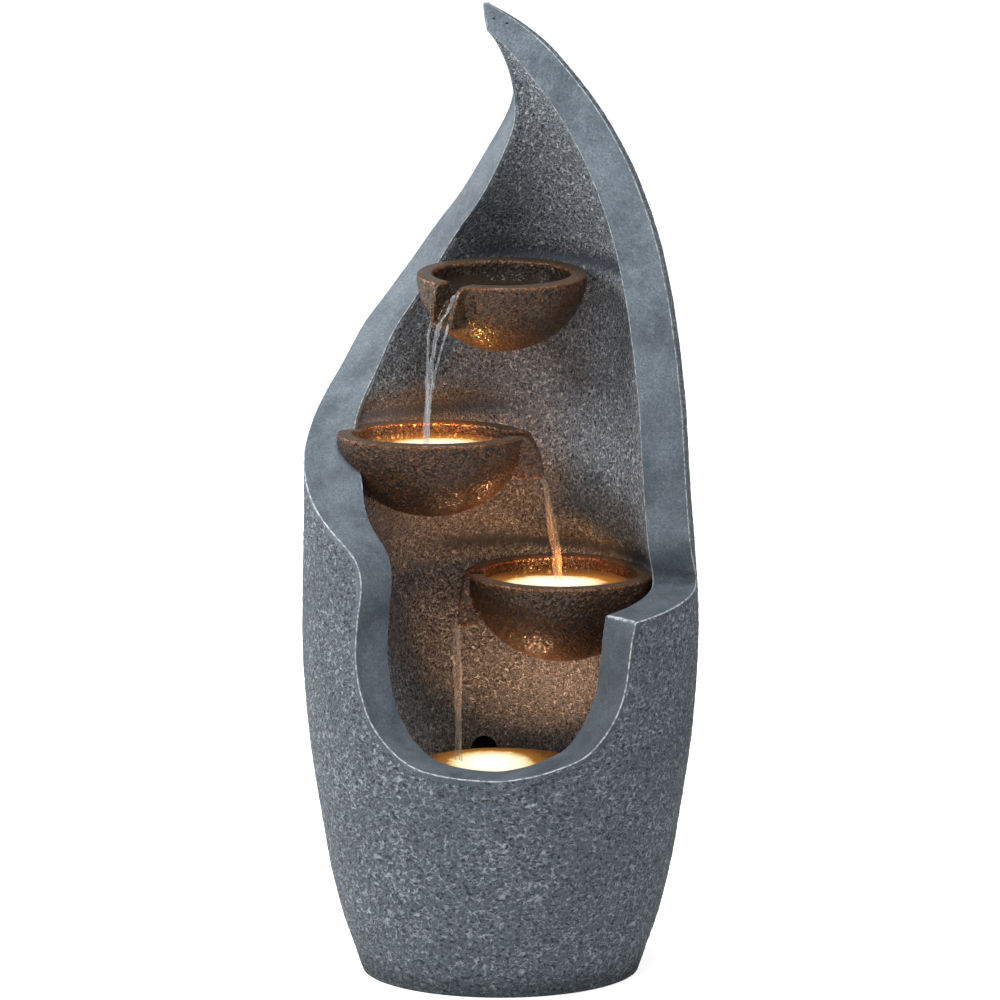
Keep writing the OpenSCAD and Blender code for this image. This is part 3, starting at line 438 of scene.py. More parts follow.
def shell_surface(q):
    a, z = q[:, 0], q[:, 1]
    p = at(body_r(z), a, z)
    amount = CAST_RELIEF * (0.3 + 0.7 * ramp((z - 8) / 20))
    return at(body_r(z) + (hammered(p) - 0.5) * amount * edge_fade(q, 3) - 0.1, a, z)


def shell_inside(q):
    """Inner face of the shell, which turns solid in the tip."""
    a, z = q[:, 0], q[:, 1]
    t = np.interp(z, [918, 940], [0, 1])
    return at(np.maximum(body_r(z) - (8 + (BAND - 8) * t), 3.5), a, z)


FINE = 1
shell = skin("vase_skin", spread_rows(2.0, 360 // FINE, 300 // FINE, 0, 2.2), shell_surface,
             spread_rows(5.0, 130, 60, 0), shell_inside)


def grid(heights, angles):
    """Angles and heights of all the points of a grid."""
    return (g.ravel() for g in np.meshgrid(angles, heights))


def curved_block(name, columns, outside, inside):
    """Closed block between an outer and an inner grid of points."""
    ids = np.arange(len(outside)).reshape(-1, columns)
    o, i = ids.tolist(), (ids + len(outside)).tolist()
    faces = []
    for j in range(len(o) - 1):
        faces += strip(o[j], o[j + 1]) + [f[::-1] for f in strip(i[j], i[j + 1])]
        faces += [(o[j + 1][0], i[j + 1][0], i[j][0], o[j][0]),
                  (o[j][-1], i[j][-1], i[j + 1][-1], o[j + 1][-1])]
    faces += [(i[0][k], i[0][k + 1], o[0][k + 1], o[0][k]) for k in range(columns - 1)]
    faces += [(o[-1][k], o[-1][k + 1], i[-1][k + 1], i[-1][k]) for k in range(columns - 1)]
    return new_object(name, np.concatenate([outside, inside]), faces)


def opening(heights, angles):
    """Cutter that follows the vase from 6 mm outside its surface to 30 mm inside."""
    a, z = grid(np.linspace(*heights, 9), np.linspace(*angles, 13))
    return curved_block("cutter", 13, at(body_r(z) + 6, a, z), at(body_r(z) - 30, a, z))


combine(shell, opening(DOOR_Z, DOOR_A), "DIFFERENCE")
combine(shell, opening(SERVICE_Z, SERVICE_A), "DIFFERENCE")
wear(shell, WEAR_GAIN)


# The rim band: a rounded section carried along the cut edge
def band_section():
    """Points of the section as depth from the outer surface and depth behind the cut."""
    outer = [(1.6 - 1.6 * math.cos(t), 1.6 - 1.6 * math.sin(t)) for t in np.linspace(0, 1.57, 6)]
    face = [(x, -0.9 * math.sin(math.pi * (x - 1.6) / 41))
            for x in (4, 7, 11, 16, 22, 28, 33, 37, 40)]
    inner = [(BAND - 2 + 2 * math.sin(t), 2 - 2 * math.cos(t)) for t in np.linspace(0, 1.57, 6)]
    return [(0.15, 7.5), (0.1, 4)] + outer + face + inner + [(BAND, 5), (BAND, 8), (20, 8)]


def rim_band():
    """The band's mesh. Its attribute worn is 1 on the cut's corners and on the line that runs
    across it from the shelf's corner."""
    count = int(len(whole) / (1.6 * FINE))
    pick = np.linspace(0, len(whole) - 1, count)
    corner = from_corner(whole)
    corner = np.exp(-(np.interp(pick, np.arange(len(whole)), corner) - corner.min()) ** 2)
    left_side = pick < bottom
    rings = []
    for depth, back in band_section():
        p = inset(back)
        a, z = (np.interp(pick, np.arange(len(p)), p[:, i]) for i in (0, 1))
        # The band widens beside the middle bowl
        total = body_r(z) - inner_r(z) + 13 * left_side * np.exp(-((z - 512) / 30) ** 2)
        r = body_r(z) - depth / BAND * total
        q = at(r, a, z)
        bump = noise3(q / 8, 22) * 0.25
        if 3 < depth < BAND - 3:
            bump = bump + noise3(q / 30, 21) * 0.9
        sideways = np.interp(pick, np.arange(len(into)), into[:, 0])
        rings.append(at(r, a + sideways * bump / (RAD * np.maximum(r, 8)) * 0.6, z))
    n, m = count, len(rings)
    pts = np.concatenate(rings)
    faces = [(i * n + j, i * n + j + 1, ((i + 1) % m) * n + j + 1, ((i + 1) % m) * n + j)
             for i in range(m) for j in range(n - 1)]
    faces += [tuple(i * n for i in range(m)), tuple(i * n + n - 1 for i in range(m))[::-1]]
    obj = new_object("rim_skin", pts, faces)
    edge = []
    for depth, back in band_section():
        outside = 0.1 < back < 1.2 and depth < 1.2
        inside = 0.2 < back < 1.2 and depth > BAND - 1.6
        edge.append(np.maximum(1.0 if outside else 0.8 if inside else 0.0,
                               corner * (2 < depth < BAND - 2)))
    set_value(obj.data, "worn", np.concatenate(edge))
    return obj


rim = rim_band()
for hole in TIP_HOLES:
    combine(rim, cylinder_y(*hole, 16, 12), "DIFFERENCE")


# The grotto wall, with the return hole at the water line
def wall_front(q):
    a, z = q[:, 0], q[:, 1]
    r = wall_r(a, z)
    p = at(r, a, z)
    return at(r - (hammered(p, 7.5) - 0.4) * 1.2 * edge_fade(q, 5), a, z)


def wall_back(q):
    a, z = q[:, 0], q[:, 1]
    return at(wall_r(a, z) + WALL_T, a, z)


grotto = skin("grotto_skin", spread_rows(3.0, 330 // FINE, 240 // FINE, 150), wall_front,
              spread_rows(6.0, 130, 60, 150), wall_back)
combine(grotto, cylinder_y(*RETURN_HOLE, 80, 28), "DIFFERENCE")
wear(grotto, WEAR_GAIN)


def about_axis(p):
    """Offsets of points from the leaning axis, and their angles."""
    vx, vy = p[:, 0] - lean_x(p[:, 2]), p[:, 1] - lean_y(p[:, 2])
    a = np.degrees(np.arctan2(vy, vx))
    return vx, vy, np.where(a < -100, a + 360, a)


def recess_shade(obj):
    """Keeps where the wall turns smooth just above each bowl, which is also where the wall is
    painted dark blue as painted shade in that recess.
    """
    p = coords(obj.data)
    a = about_axis(p)[2]
    depth = sum(ramp((a - a0 + 30) / 25) * ramp((a1 + 30 - a) / 25)
                * np.exp(-((p[:, 2] - z0 + 5) / 9) ** 2) for a0, a1, z0 in NICHES)
    set_value(obj.data, "recess_shade", np.clip(depth, 0, 1))


recess_shade(grotto)


# Bowls, each one solid with its spout, then softened and given a fine leathery relief
def held(p, off):
    """Keeps points just inside the grotto wall, except beyond its left edge."""
    vx, vy, a = about_axis(p)
    r = np.hypot(vx, vy)
    past = np.maximum(a - edge_at(p[:, 2], LEFT_EDGE) + 24 * ramp((546 - p[:, 2]) / 20), 0)
    free = np.minimum(wall_r(a, p[:, 2]) + past * r * RAD * 1.5, body_r(p[:, 2]) - 12) - off
    k = np.minimum(free / r, 1)
    return np.stack([lean_x(p[:, 2]) + vx * k, lean_y(p[:, 2]) + vy * k, p[:, 2]], 1)


def closed_loft(name, rings):
    """Solid through rings of points, closed at both ends."""
    n, m = len(rings[0]), len(rings)
    ids = np.arange(n * m).reshape(m, n)
    rows = [list(r) + [r[0]] for r in ids.tolist()]
    faces = []
    for a, b in zip(rows, rows[1:]):
        faces += strip(a, b)
    faces += [tuple(rows[0][:-1][::-1]), tuple(rows[-1][:-1])]
    return new_object(name, np.concatenate(rings), faces)


def upright(name, centre, turn, outline, width, drop):
    """Plate with an outline given as distance along the spout and height, across the spout.
    It is wider at the top than at the lip."""
    c, s = math.cos(turn * RAD), math.sin(turn * RAD)
    pts = []
    for side in (-1, 1):
        for u, h in outline:
            v = side * (width / 2 + SPOUT_FLARE * (0.5 + h / drop))
            pts.append((centre[0] + u * c - v * s, centre[1] + u * s + v * c, centre[2] + h))
    return new_object(name, pts, prism(len(outline)))


def ellipse(centre, rw, rd, z, sides):
    ang = circle(sides)
    return np.stack([centre[0] + rw * np.cos(ang), centre[1] + rd * np.sin(ang),
                     np.full(sides, centre[2] + z)], 1)


def make_bowl(name, centre, w, d, h, turn, reach, drop):
    def ring(rw, rd, z, off):
        return held(ellipse(centre, rw, rd, z, 120), off)
    rings = [ring(w * math.cos(u), d * math.cos(u), -h * math.sin(u), -3)
             for u in np.radians([88, 84, 78, 72, 66, 60, 54, 48, 42, 36, 30, 24, 18, 12, 7, 3])]
    rings += [ring(w - 0.5, d - 0.5, -0.5, -3), ring(w - 2, d - 2, 0, -1.5)]
    wi, di, hi = w - BOWL_RIM, d - BOWL_RIM, h - BOWL_FLOOR + 4
    rings += [ring(wi + 2, di + 2, 0, 9), ring(wi + 0.5, di + 0.5, -0.8, 10.5)]
    rings += [ring(wi * math.cos(u), di * math.cos(u), -hi * math.sin(u), 11)
              for u in np.radians([4, 10, 16, 22, 30, 38, 46, 54, 62, 70])]
    rings += [ring(wi * 0.2, di * 0.2, -h + BOWL_FLOOR, 11)]
    obj = closed_loft(name, rings)
    # The spout: a block from the rim at distance s, and the notch cut into it
    s = 1 / math.hypot(math.cos(turn * RAD) / w, math.sin(turn * RAD) / d)
    block = [(s - 15, -0.5), (s - 1.5, -0.5), (s + reach * 0.25, -drop * 0.08),
             (s + reach * 0.5, -drop * 0.25), (s + reach * 0.75, -drop * 0.5),
             (s + reach * 0.92, -drop * 0.78), (s + reach, -drop), (s - 9, -drop),
             (s - 20, -drop * 0.6)]
    cut = [(s - 40, 6), (s - 40, -12), (s - 22, -drop * 0.3), (s - 6, -drop * 0.5),
           (s + reach - 3, -drop + 5), (s + reach + 20, -drop + 5), (s + reach + 20, 6)]
    combine(obj, upright("block", centre, turn, block, SPOUT_W, drop), "UNION")
    notch_w = SPOUT_W - 2 * SPOUT_CHEEK
    combine(obj, upright("cut", centre, turn, cut, notch_w, drop), "DIFFERENCE")
    # One skin over all, then the relief, which is weak on the flat rim and near the spout
    modify(obj, "REMESH", mode="VOXEL", voxel_size=1.28 * FINE * MM)
    modify(obj, "SMOOTH", factor=0.5, iterations=1)
    mesh = obj.data
    p, no = coords(mesh), normals(mesh)
    flat = ramp((p[:, 2] - centre[2] + 2.2) / 1.2) * ramp((no[:, 2] - 0.5) / 0.3)
    tip_x, tip_y = centre[0] + s * math.cos(turn * RAD), centre[1] + s * math.sin(turn * RAD)
    from_spout = np.hypot(p[:, 0] - tip_x, p[:, 1] - tip_y)
    amount = 1.25 * (1 - 0.8 * flat) * (0.35 + 0.65 * ramp((from_spout - 16) / 14))
    moved = p + no * ((hammered(p, 4.8) - 0.5) * amount)[:, None]
    mesh.vertices.foreach_set("co", (moved * MM).astype(np.float32).ravel())
    mesh.update()
    mesh.polygons.foreach_set("use_smooth", [True] * len(mesh.polygons))
    set_value(mesh, "flat", flat)
    height = p[:, 2] - centre[2]
    set_value(mesh, "lip", np.exp(-((height + 1.6) / 1.1) ** 2) * ramp((0.8 - no[:, 2]) / 0.5))
    if name == "bowl_top_cast":
        # Darker inside: painted shade where no lamp shines, and partly the wet bronze
        away = no[:, 0] * (p[:, 0] - centre[0]) + no[:, 1] * (p[:, 1] - centre[1])
        set_value(mesh, "wet_and_shade", ramp(-away / 20) * ramp((-2 - height) / 3))
    wear(obj, 1.6)
    return obj


bowls = {n: make_bowl(n + "_cast", *v) for n, v in BOWLS.items()}


# Water: a level pool in each bowl and in the basin, and the three falling streams
def pool(name, rim_points, z, impact, ripple):
    """Closed slab whose top ripples round the place where its stream lands."""
    centre = rim_points.mean(0)
    rings = []
    for k in np.linspace(0.02, 1, 46):
        p = centre + (rim_points - centre) * k
        d = np.hypot(p[:, 0] - impact[0], p[:, 1] - impact[1])
        p[:, 2] = z + ripple * np.cos(d / 2.6) * np.exp(-d / 24) \
            + ripple * 0.5 * noise3(p / 13, 31) * ramp((1 - k) * 12)
        rings.append(p)
    under = rings[-1].copy()
    under[:, 2] = z - POOL_T
    return closed_loft(name, [under] + rings[::-1])


def bowl_edge(centre, w, d, h, depth):
    """Where the water's surface meets a bowl, sunk a little into its wall."""
    k = math.sqrt(1 - (depth / (h - BOWL_FLOOR + 4)) ** 2)
    out = held(ellipse(centre, (w - BOWL_RIM) * k, (d - BOWL_RIM) * k, -depth, 96), 11)
    mid = out.mean(0)
    return out + (out - mid) / np.linalg.norm(out - mid, axis=1)[:, None] * 1.2


def basin_edge():
    a = -90 + 360 * np.arange(120) / 120
    z = np.full(120, float(WATER_Z))
    return at(wall_r(a, z) + 1.5, a, z)


# Pools: bowl, depth of the surface below its rim, where the stream lands, and ripple height
POOLS = {
    "pool_top": ("bowl_top", 13, (10, 78), 0.9),
    "pool_middle": ("bowl_middle", 11, (-75, -6), 0.7),
    "pool_lower": ("bowl_lower", 12, (60, 40), 0.7),
}
pools = {}
for name, (of_bowl, depth, impact, ripple) in POOLS.items():
    centre, w, d, h = BOWLS[of_bowl][:4]
    pools[name] = pool(name, bowl_edge(centre, w, d, h, depth), centre[2] - depth, impact, ripple)
pools["pool_basin"] = pool("pool_basin", basin_edge(), WATER_Z, (-44, 40), 0.8)


def strand(points, radii, seed):
    """Rings of a flattened thread of water along a path, from its radii along X and Y."""
    p = np.array(points, float)
    t = np.linspace(0, 1, 70)
    k = np.linspace(0, 1, len(p))
    line = np.stack([np.interp(t, k, p[:, i]) for i in range(3)], 1)
    line = gauss(line, 2.5)
    rw = np.interp(t, k, [r[0] for r in radii])
    rd = np.interp(t, k, [r[1] for r in radii])
    wob = noise3(np.stack([t * 9, t * 0 + seed, t * 0], 1), 41)
    line[:, 0] += wob * 1.1 * ramp(t * 5)
    rings = []
    ang = circle(10)
    for i in range(len(t)):
        turn = 0.5 * math.sin(t[i] * 7 + seed)
        swell = 1 + 0.3 * noise3(np.array([[t[i] * 16, seed * 3.1, 0.5]]), 42)[0]
        x = np.cos(ang) * rw[i] * swell
        y = np.sin(ang) * rd[i] * swell
        c, s = math.cos(turn), math.sin(turn)
        rings.append(line[i] + np.stack([x * c - y * s, x * s + y * c, 0 * x], 1))
    return rings


def stream(name, threads):
    """One mesh of several closed threads and drops."""
    points, faces = [], []
    for rings in threads:
        base = sum(len(q) for q in points)
        n, m = len(rings[0]), len(rings)
        points += rings
        for j in range(m - 1):
            faces += [(base + j * n + i, base + j * n + (i + 1) % n,
                       base + (j + 1) * n + (i + 1) % n, base + (j + 1) * n + i)
                      for i in range(n)]
        faces += [tuple(base + i for i in range(n)),
                  tuple(base + (m - 1) * n + i for i in range(n))[::-1]]
    return new_object(name, np.concatenate(points), faces)


def drops(spots, size):
    """Small beads of water, as rings for a stream."""
    out = []
    ang = circle(8)
    for x, y, z in spots:
        out.append([np.stack([x + np.cos(ang) * size * s, y + np.sin(ang) * size * s,
                              np.full(8, z + h * size)], 1)
                    for s, h in ((0.3, -1.2), (0.85, -0.6), (1, 0), (0.7, 0.8), (0.2, 1.5))])
    return out


streams = {
    "stream_top": stream("stream_top", [
        strand([(-70, -17, 676), (-72.5, -18, 668), (-74, -18, 650), (-74, -17, 620),
                (-75.5, -12, 575), (-77, -8, 538)],
               [(1.2, 1), (1.3, 1), (1.1, 1), (1.6, 1.3), (2.2, 1.6), (3.4, 2.4)], seed=1),
        strand([(-61, -25, 677), (-64, -27, 669), (-67, -27, 655), (-71, -22, 620),
                (-74.5, -15, 575), (-75, -9, 538)],
               [(2.4, 1), (2.6, 1), (1.9, 1), (2.3, 1.4), (2.4, 1.8), (3.2, 2.4)], seed=4),
        strand([(-53, -33, 677), (-55, -35, 669), (-58, -34, 658), (-65, -28, 632), (-71, -20, 600),
                (-74, -13, 560), (-74, -9, 538)],
               [(1.3, 1), (1.2, 1), (1, 0.9), (1, 0.9), (1.3, 1), (1.6, 1.4), (2.6, 2)], seed=9),
        strand([(-38, 1, 702), (-44, -5, 699), (-48, -10, 694), (-52, -14, 689), (-61, -25, 677)],
               [(5, 4), (7, 4), (4.5, 2.2), (1.4, 0.8), (1.2, 0.8)], seed=5),
        *drops([(-79, -12, 561), (-71, -14, 583), (-80, -8, 549), (-68, -22, 611)], 0.9)]),
    "stream_middle": stream("stream_middle", [
        strand([(36, 22, 517), (41, 22, 508), (44.5, 22, 501), (47, 23, 488),
                (52, 27, 458), (56.5, 33, 428), (60, 38, 391)],
               [(2, 6), (2, 6), (2, 4.5), (2.6, 3), (4.6, 2.2), (5.2, 2.2), (5.6, 3)], seed=2),
        strand([(42, 15, 505), (45.5, 17, 492), (50, 22, 470), (57, 32, 428), (62, 39, 391)],
               [(1.2, 1.2), (1.1, 1.1), (1.1, 1), (1.2, 1.2), (2, 1.8)], seed=6),
        *drops([(66, 37, 404), (53, 38, 410), (57, 31, 448)], 0.8)]),
    "stream_lower": stream("stream_lower", [
        strand([(-36, 30, 368), (-41, 30, 359), (-44.5, 30, 351), (-44.5, 31, 330),
                (-43.5, 36, 280), (-43, 40, 240), (-42.5, 43, 203)],
               [(2, 6), (2, 6), (2.6, 4.5), (3.8, 2.6), (4.4, 2.4), (3.4, 2), (3.8, 2.6)],
               seed=3),
        strand([(-42, 22, 353), (-43, 25, 338), (-40, 32, 290), (-42, 38, 240), (-40.5, 43, 203)],
               [(1.2, 1.2), (1.1, 1), (1, 1), (1, 1), (1.6, 1.6)], seed=8),
        *drops([(-48, 40, 222), (-38, 45, 214), (-46, 37, 262)], 0.8)]),
}


# Rear door: a hammered panel like the vase, with its screw holes
def door_panel():
    gap, radius = 0.8, 197
    zs = np.linspace(DOOR_Z[0] + gap, DOOR_Z[1] - gap, 45)
    side = gap / radius / RAD
    ang = np.linspace(DOOR_A[0] + side, DOOR_A[1] - side, 51)
    a, z = grid(zs, ang)
    near_edge = np.minimum(np.minimum(a - ang[0], ang[-1] - a) * RAD * radius,
                           np.minimum(z - zs[0], zs[-1] - z))
    relief = (hammered(at(body_r(z), a, z)) - 0.5) * CAST_RELIEF * ramp(near_edge / 4)
    obj = curved_block("door_panel", len(ang), at(body_r(z) - 0.3 + relief, a, z),
                       at(body_r(z) - 6.8, a, z))
    for zc in (257, 343):
        top = float(body_r(zc))
        combine(obj, cylinder_y(0, top - 30, zc, 2.1, 60), "DIFFERENCE")
        combine(obj, cylinder_y(0, top - 3.7, zc, 4.8, 20), "DIFFERENCE")
    wear(obj, WEAR_GAIN)
    return obj


door = door_panel()


# Materials
class Graph:
    """Short-hand for the nodes of a new material, or of the world."""

    def __init__(self, name, world=None):
        self.material = world or bpy.data.materials.new(name)
        self.material.use_nodes = True
        self.tree = self.material.node_tree
        self.tree.nodes.clear()
        self.out = self.node("OutputWorld" if world else "OutputMaterial")

    def node(self, kind, props=None, **inputs):
        n = self.tree.nodes.new("ShaderNode" + kind)
        for k, v in (props or {}).items():
            setattr(n, k, v)
        for k, v in inputs.items():
            self.put(n, k, v)
        return n

    def put(self, n, key, value):
        """Sets or links an input, named by its label or as i and its number."""
        key = key.replace("_", " ")
        names = {s.name.lower(): s for s in n.inputs}
        socket = n.inputs[int(key[1:])] if key[1:].isdigit() and key[0] == "i" \
            else names[key.lower()]
        if isinstance(value, bpy.types.NodeSocket):
            self.tree.links.new(value, socket)
        else:
            socket.default_value = value

    def math(self, op, a, b=0.0, clamp=False):
        return self.node("Math", {"operation": op, "use_clamp": clamp}, i0=a, i1=b).outputs[0]

    def mix(self, fac, a, b, mode="MIX"):
        n = self.node("Mix", {"data_type": "RGBA", "blend_type": mode, "clamp_result": False})
        for i, v in ((0, fac), (6, a), (7, b)):
            if isinstance(v, bpy.types.NodeSocket):
                self.tree.links.new(v, n.inputs[i])
            else:
                n.inputs[i].default_value = v if i == 0 else (*v, 1)
        return n.outputs[2]

    def noise(self, vector, scale, detail=2.0, rough=0.5, distortion=0.0):
        return self.node("TexNoise", vector=vector, scale=scale, detail=detail,
                         roughness=rough, distortion=distortion).outputs["Fac"]

    def place(self):
        return self.node("TexCoord").outputs["Object"]

    def value(self, name):
        return self.node("Attribute", {"attribute_name": name}).outputs["Fac"]

    def remap(self, v, lo, hi, to_lo=0.0, to_hi=1.0):
        n = self.node("MapRange", value=v)
        for k, x in zip(range(1, 5), (lo, hi, to_lo, to_hi)):
            n.inputs[k].default_value = x
        return n.outputs[0]

    def bump(self, height, distance, strength=1.0):
        return self.node("Bump", height=height, distance=distance,
                         strength=strength).outputs["Normal"]

    def shader(self, **inputs):
        self.put(self.out, "surface", self.node("BsdfPrincipled", **inputs).outputs[0])


def scaled(g, place, stretch):
    return g.node("VectorMath", {"operation": "MULTIPLY"}, i0=place, i1=stretch).outputs[0]


def crests(g, place, scale, width, keep, chop):
    """Short pale crests: lines where smooth noise crosses its middle, kept only in places.
    A higher chop makes them shorter."""
    n = g.noise(place, scale, 1.0, 0.4, 0.3)
    away = g.math("ABSOLUTE", g.math("SUBTRACT", n, 0.5))
    line = g.remap(away, 0.0, width, 1.0, 0.0)
    gate = g.remap(g.noise(place, scale * chop, 0.0), keep, keep + 0.09)
    return g.math("MULTIPLY", line, gate)


def tinted(g, colour, factor):
    grey = g.node("CombineColor", red=factor, green=factor, blue=factor).outputs[0]
    return g.mix(1.0, colour, grey, "MULTIPLY")


def hammered_finish(name, colours, scale, stretch, crest_share, depth, chop, right=1.0, top=1.0):
    """Cast slate in four colours from pit to crest. right and top scale its brightness there, as
    painted light and shade for how the light falls on the right side and near the top.
    """
    pit, low, base, crest = colours
    g = Graph(name)
    place = g.place()
    leaned = scaled(g, place, stretch)
    line = crests(g, leaned, scale, 0.075, 0.4 + (chop - 1.3) * 0.03, chop)
    line2 = crests(g, leaned, scale * 1.55, 0.08, 0.43 + (chop - 1.3) * 0.03, chop)
    grain = g.noise(leaned, scale * 1.7, 2.0, 0.5, 0.3)
    fine = g.noise(place, 600.0, 2.0, 0.6)
    patch = g.remap(g.noise(place, 11.0, 2.0), 0.35, 0.65, 0.65, 1.0)
    worn = g.remap(g.value("worn"), 0.02, 0.25)
    body = g.mix(g.remap(grain, 0.32, 0.62), low, base)
    body = g.mix(g.remap(grain, 0.46, 0.36, 0.0, 0.95), body, pit)
    bright = g.math("MAXIMUM", line, g.math("MULTIPLY", line2, 0.75))
    bright = g.math("ADD", bright, g.math("MULTIPLY", worn, 0.2))
    share = g.math("MULTIPLY", g.math("MULTIPLY", bright, patch), crest_share, clamp=True)
    colour = tinted(g, g.mix(share, body, crest), g.remap(fine, 0.3, 0.7, 0.76, 1.24))
    # Where the wall is recessed over a bowl it is smoother, and below it is painted dark blue as
    # painted shade
    smooth = g.value("recess_shade")
    where = g.node("SeparateXYZ", vector=place)
    foot = g.remap(where.outputs["Z"], 0.008, 0.028, 0.55, 1.0)
    # Painted light and shade: the colour is scaled by right towards the right side
    painted_side_light = g.remap(where.outputs["X"], -0.01, 0.09, 1.0, right)
    colour = tinted(g, colour, g.math("MULTIPLY", foot, painted_side_light))
    # Painted light: the colour is scaled by top near the top
    colour = tinted(g, colour, g.remap(where.outputs["Z"], 0.84, 0.95, 1.0, top))
    # Painted shade: the recess over each bowl's rim is painted dark blue in place of its shadow
    colour = g.mix(g.math("MULTIPLY", smooth, 0.95), colour, (0.022, 0.03, 0.044))
    height = g.math("ADD", g.math("MULTIPLY", line, 0.6), g.math("MULTIPLY", line2, 0.4))
    height = g.math("ADD", height, grain)
    height = g.math("MULTIPLY", height, g.math("SUBTRACT", 1.0, g.math("MULTIPLY", smooth, 0.8)))
    g.shader(base_color=colour, roughness=g.remap(share, 0, 1, 0.66, 0.8),
             normal=g.bump(height, depth, 1.0))
    return g.material


def band_finish():
    g = Graph("smooth_slate")
    place = g.place()
    where = g.node("SeparateXYZ", vector=place)
    mottle = g.noise(place, 22.0, 3.0, 0.5)
    fine = g.noise(place, 480.0, 2.0, 0.7)
    cloud = g.noise(place, 90.0, 4.0, 0.65, 0.5)
    body = g.mix(g.remap(mottle, 0.36, 0.64), (0.066, 0.086, 0.108), (0.12, 0.15, 0.178))
    body = g.mix(g.remap(cloud, 0.5, 0.72, 0.0, 0.35), body, (0.22, 0.26, 0.29))
    body = tinted(g, body, g.remap(fine, 0.3, 0.7, 0.6, 1.4))
    # Painted shade and light: the band is darker towards the bottom, where it lies in shade, and
    # lighter at the top
    body = tinted(g, body, g.remap(where.outputs["Z"], 0.2, 0.95, 0.72, 1.16))
    # Painted shade: the low right part of the band faces away from the light
    low_right_shade = g.math("MULTIPLY", g.remap(where.outputs["X"], 0.03, 0.1),
                       g.remap(where.outputs["Z"], 0.42, 0.38))
    body = tinted(g, body, g.remap(low_right_shade, 0.0, 1.0, 1.0, 0.66))
    chips = g.remap(g.noise(place, 230.0, 3.0, 0.65), 0.44, 0.56)
    edge = g.math("MULTIPLY", g.value("worn"), g.math("ADD", 0.25, chips), clamp=True)
    colour = g.mix(g.math("MULTIPLY", edge, 0.85), body, (0.5, 0.54, 0.57))
    height = g.math("ADD", g.math("MULTIPLY", fine, 0.5), g.math("MULTIPLY", cloud, 0.6))
    g.shader(base_color=colour, roughness=g.remap(fine, 0.2, 0.8, 0.52, 0.7),
             normal=g.bump(height, 0.0013, 1.0))
    return g.material


def bronze_finish():
    g = Graph("aged_bronze")
    place = g.place()
    line = crests(g, place, 220.0, 0.09, 0.44, 2.0)
    grain = g.noise(place, 330.0, 2.0, 0.55, 0.3)
    patch = g.noise(place, 16.0, 3.0)
    flat = g.value("flat")
    worn = g.remap(g.value("worn"), 0.05, 0.4)
    body = g.mix(g.remap(grain, 0.4, 0.6), (0.004, 0.003, 0.003), (0.055, 0.036, 0.026))
    body = g.mix(g.remap(patch, 0.45, 0.7, 0.0, 0.4), body, (0.06, 0.05, 0.045))
    copper = g.math("ADD", g.math("MULTIPLY", line, 0.75), g.math("MULTIPLY", worn, 0.4))
    copper = g.math("MULTIPLY", copper, g.remap(patch, 0.3, 0.7, 1.0, 0.5))
    lip = g.math("MULTIPLY", g.value("lip"), g.remap(grain, 0.35, 0.55, 0.2, 0.8))
    copper = g.math("MAXIMUM", copper, lip, clamp=True)
    colour = g.mix(copper, body, (0.4, 0.155, 0.06))
    top = tinted(g, (0.105, 0.086, 0.074), g.remap(grain, 0.3, 0.7, 0.7, 1.3))
    colour = g.mix(g.math("MULTIPLY", flat, 0.75), colour, top)
    # Painted shade, with some darkening for the wet bronze, inside the top bowl
    colour = tinted(g, colour, g.remap(g.value("wet_and_shade"), 0.0, 1.0, 1.0, 0.35))
    height = g.math("ADD", g.math("MULTIPLY", line, 0.7), g.math("MULTIPLY", grain, 0.8))
    height = g.math("MULTIPLY", height, g.math("SUBTRACT", 1.0, g.math("MULTIPLY", flat, 0.6)))
    g.shader(base_color=colour, roughness=0.46, metallic=0.3, specular_ior_level=0.5,
             coat_weight=g.remap(grain, 0.42, 0.56, 0.0, 0.7), coat_roughness=0.22,
             coat_tint=(1.0, 0.72, 0.28, 1), normal=g.bump(height, 0.004, 1.0))
    return g.material


def lit_water(name, glow, reach):
    """Water with a lamp under it: near-white over the lamp, amber and then brown away from it.
    The lamp's place and the reach of its light are in millimetres."""
    g = Graph(name)
    place = g.place()
    offset = g.node("VectorMath", {"operation": "SUBTRACT"}, i0=place,
                    i1=tuple(v * MM for v in glow)).outputs[0]
    flat = scaled(g, offset, (1 / (reach[0] * MM), 1 / (reach[1] * MM), 0.0))
    dist = g.node("VectorMath", {"operation": "LENGTH"}, i0=flat).outputs["Value"]
    wave = g.noise(place, 95.0, 3.0, 0.6, 0.4)
    dist = g.math("ADD", g.math("MULTIPLY", dist, 0.5), g.remap(wave, 0, 1, -0.07, 0.07))
    ramp_node = g.node("ValToRGB", fac=dist)
    stops = [(0.0, (1.0, 0.97, 0.88)), (0.4, (1.0, 0.92, 0.66)), (0.48, (1.0, 0.7, 0.28)),
             (0.55, (0.36, 0.14, 0.025)), (0.75, (0.14, 0.05, 0.01)), (1.0, (0.06, 0.024, 0.008))]
    elements = ramp_node.color_ramp.elements
    while len(elements) < len(stops):
        elements.new(0.5)
    for e, (at_share, c) in zip(elements, stops):
        e.position, e.color = at_share, (*c, 1)
    ripple = g.noise(place, 90.0, 2.0, 0.5, 0.5)
    g.shader(base_color=(0.04, 0.025, 0.012, 1), roughness=0.08, ior=1.33,
             emission_color=ramp_node.outputs[0],
             emission_strength=g.remap(dist, 0.2, 0.5, 1.25, 0.9),
             normal=g.bump(ripple, 0.001, 0.5))
    return g.material


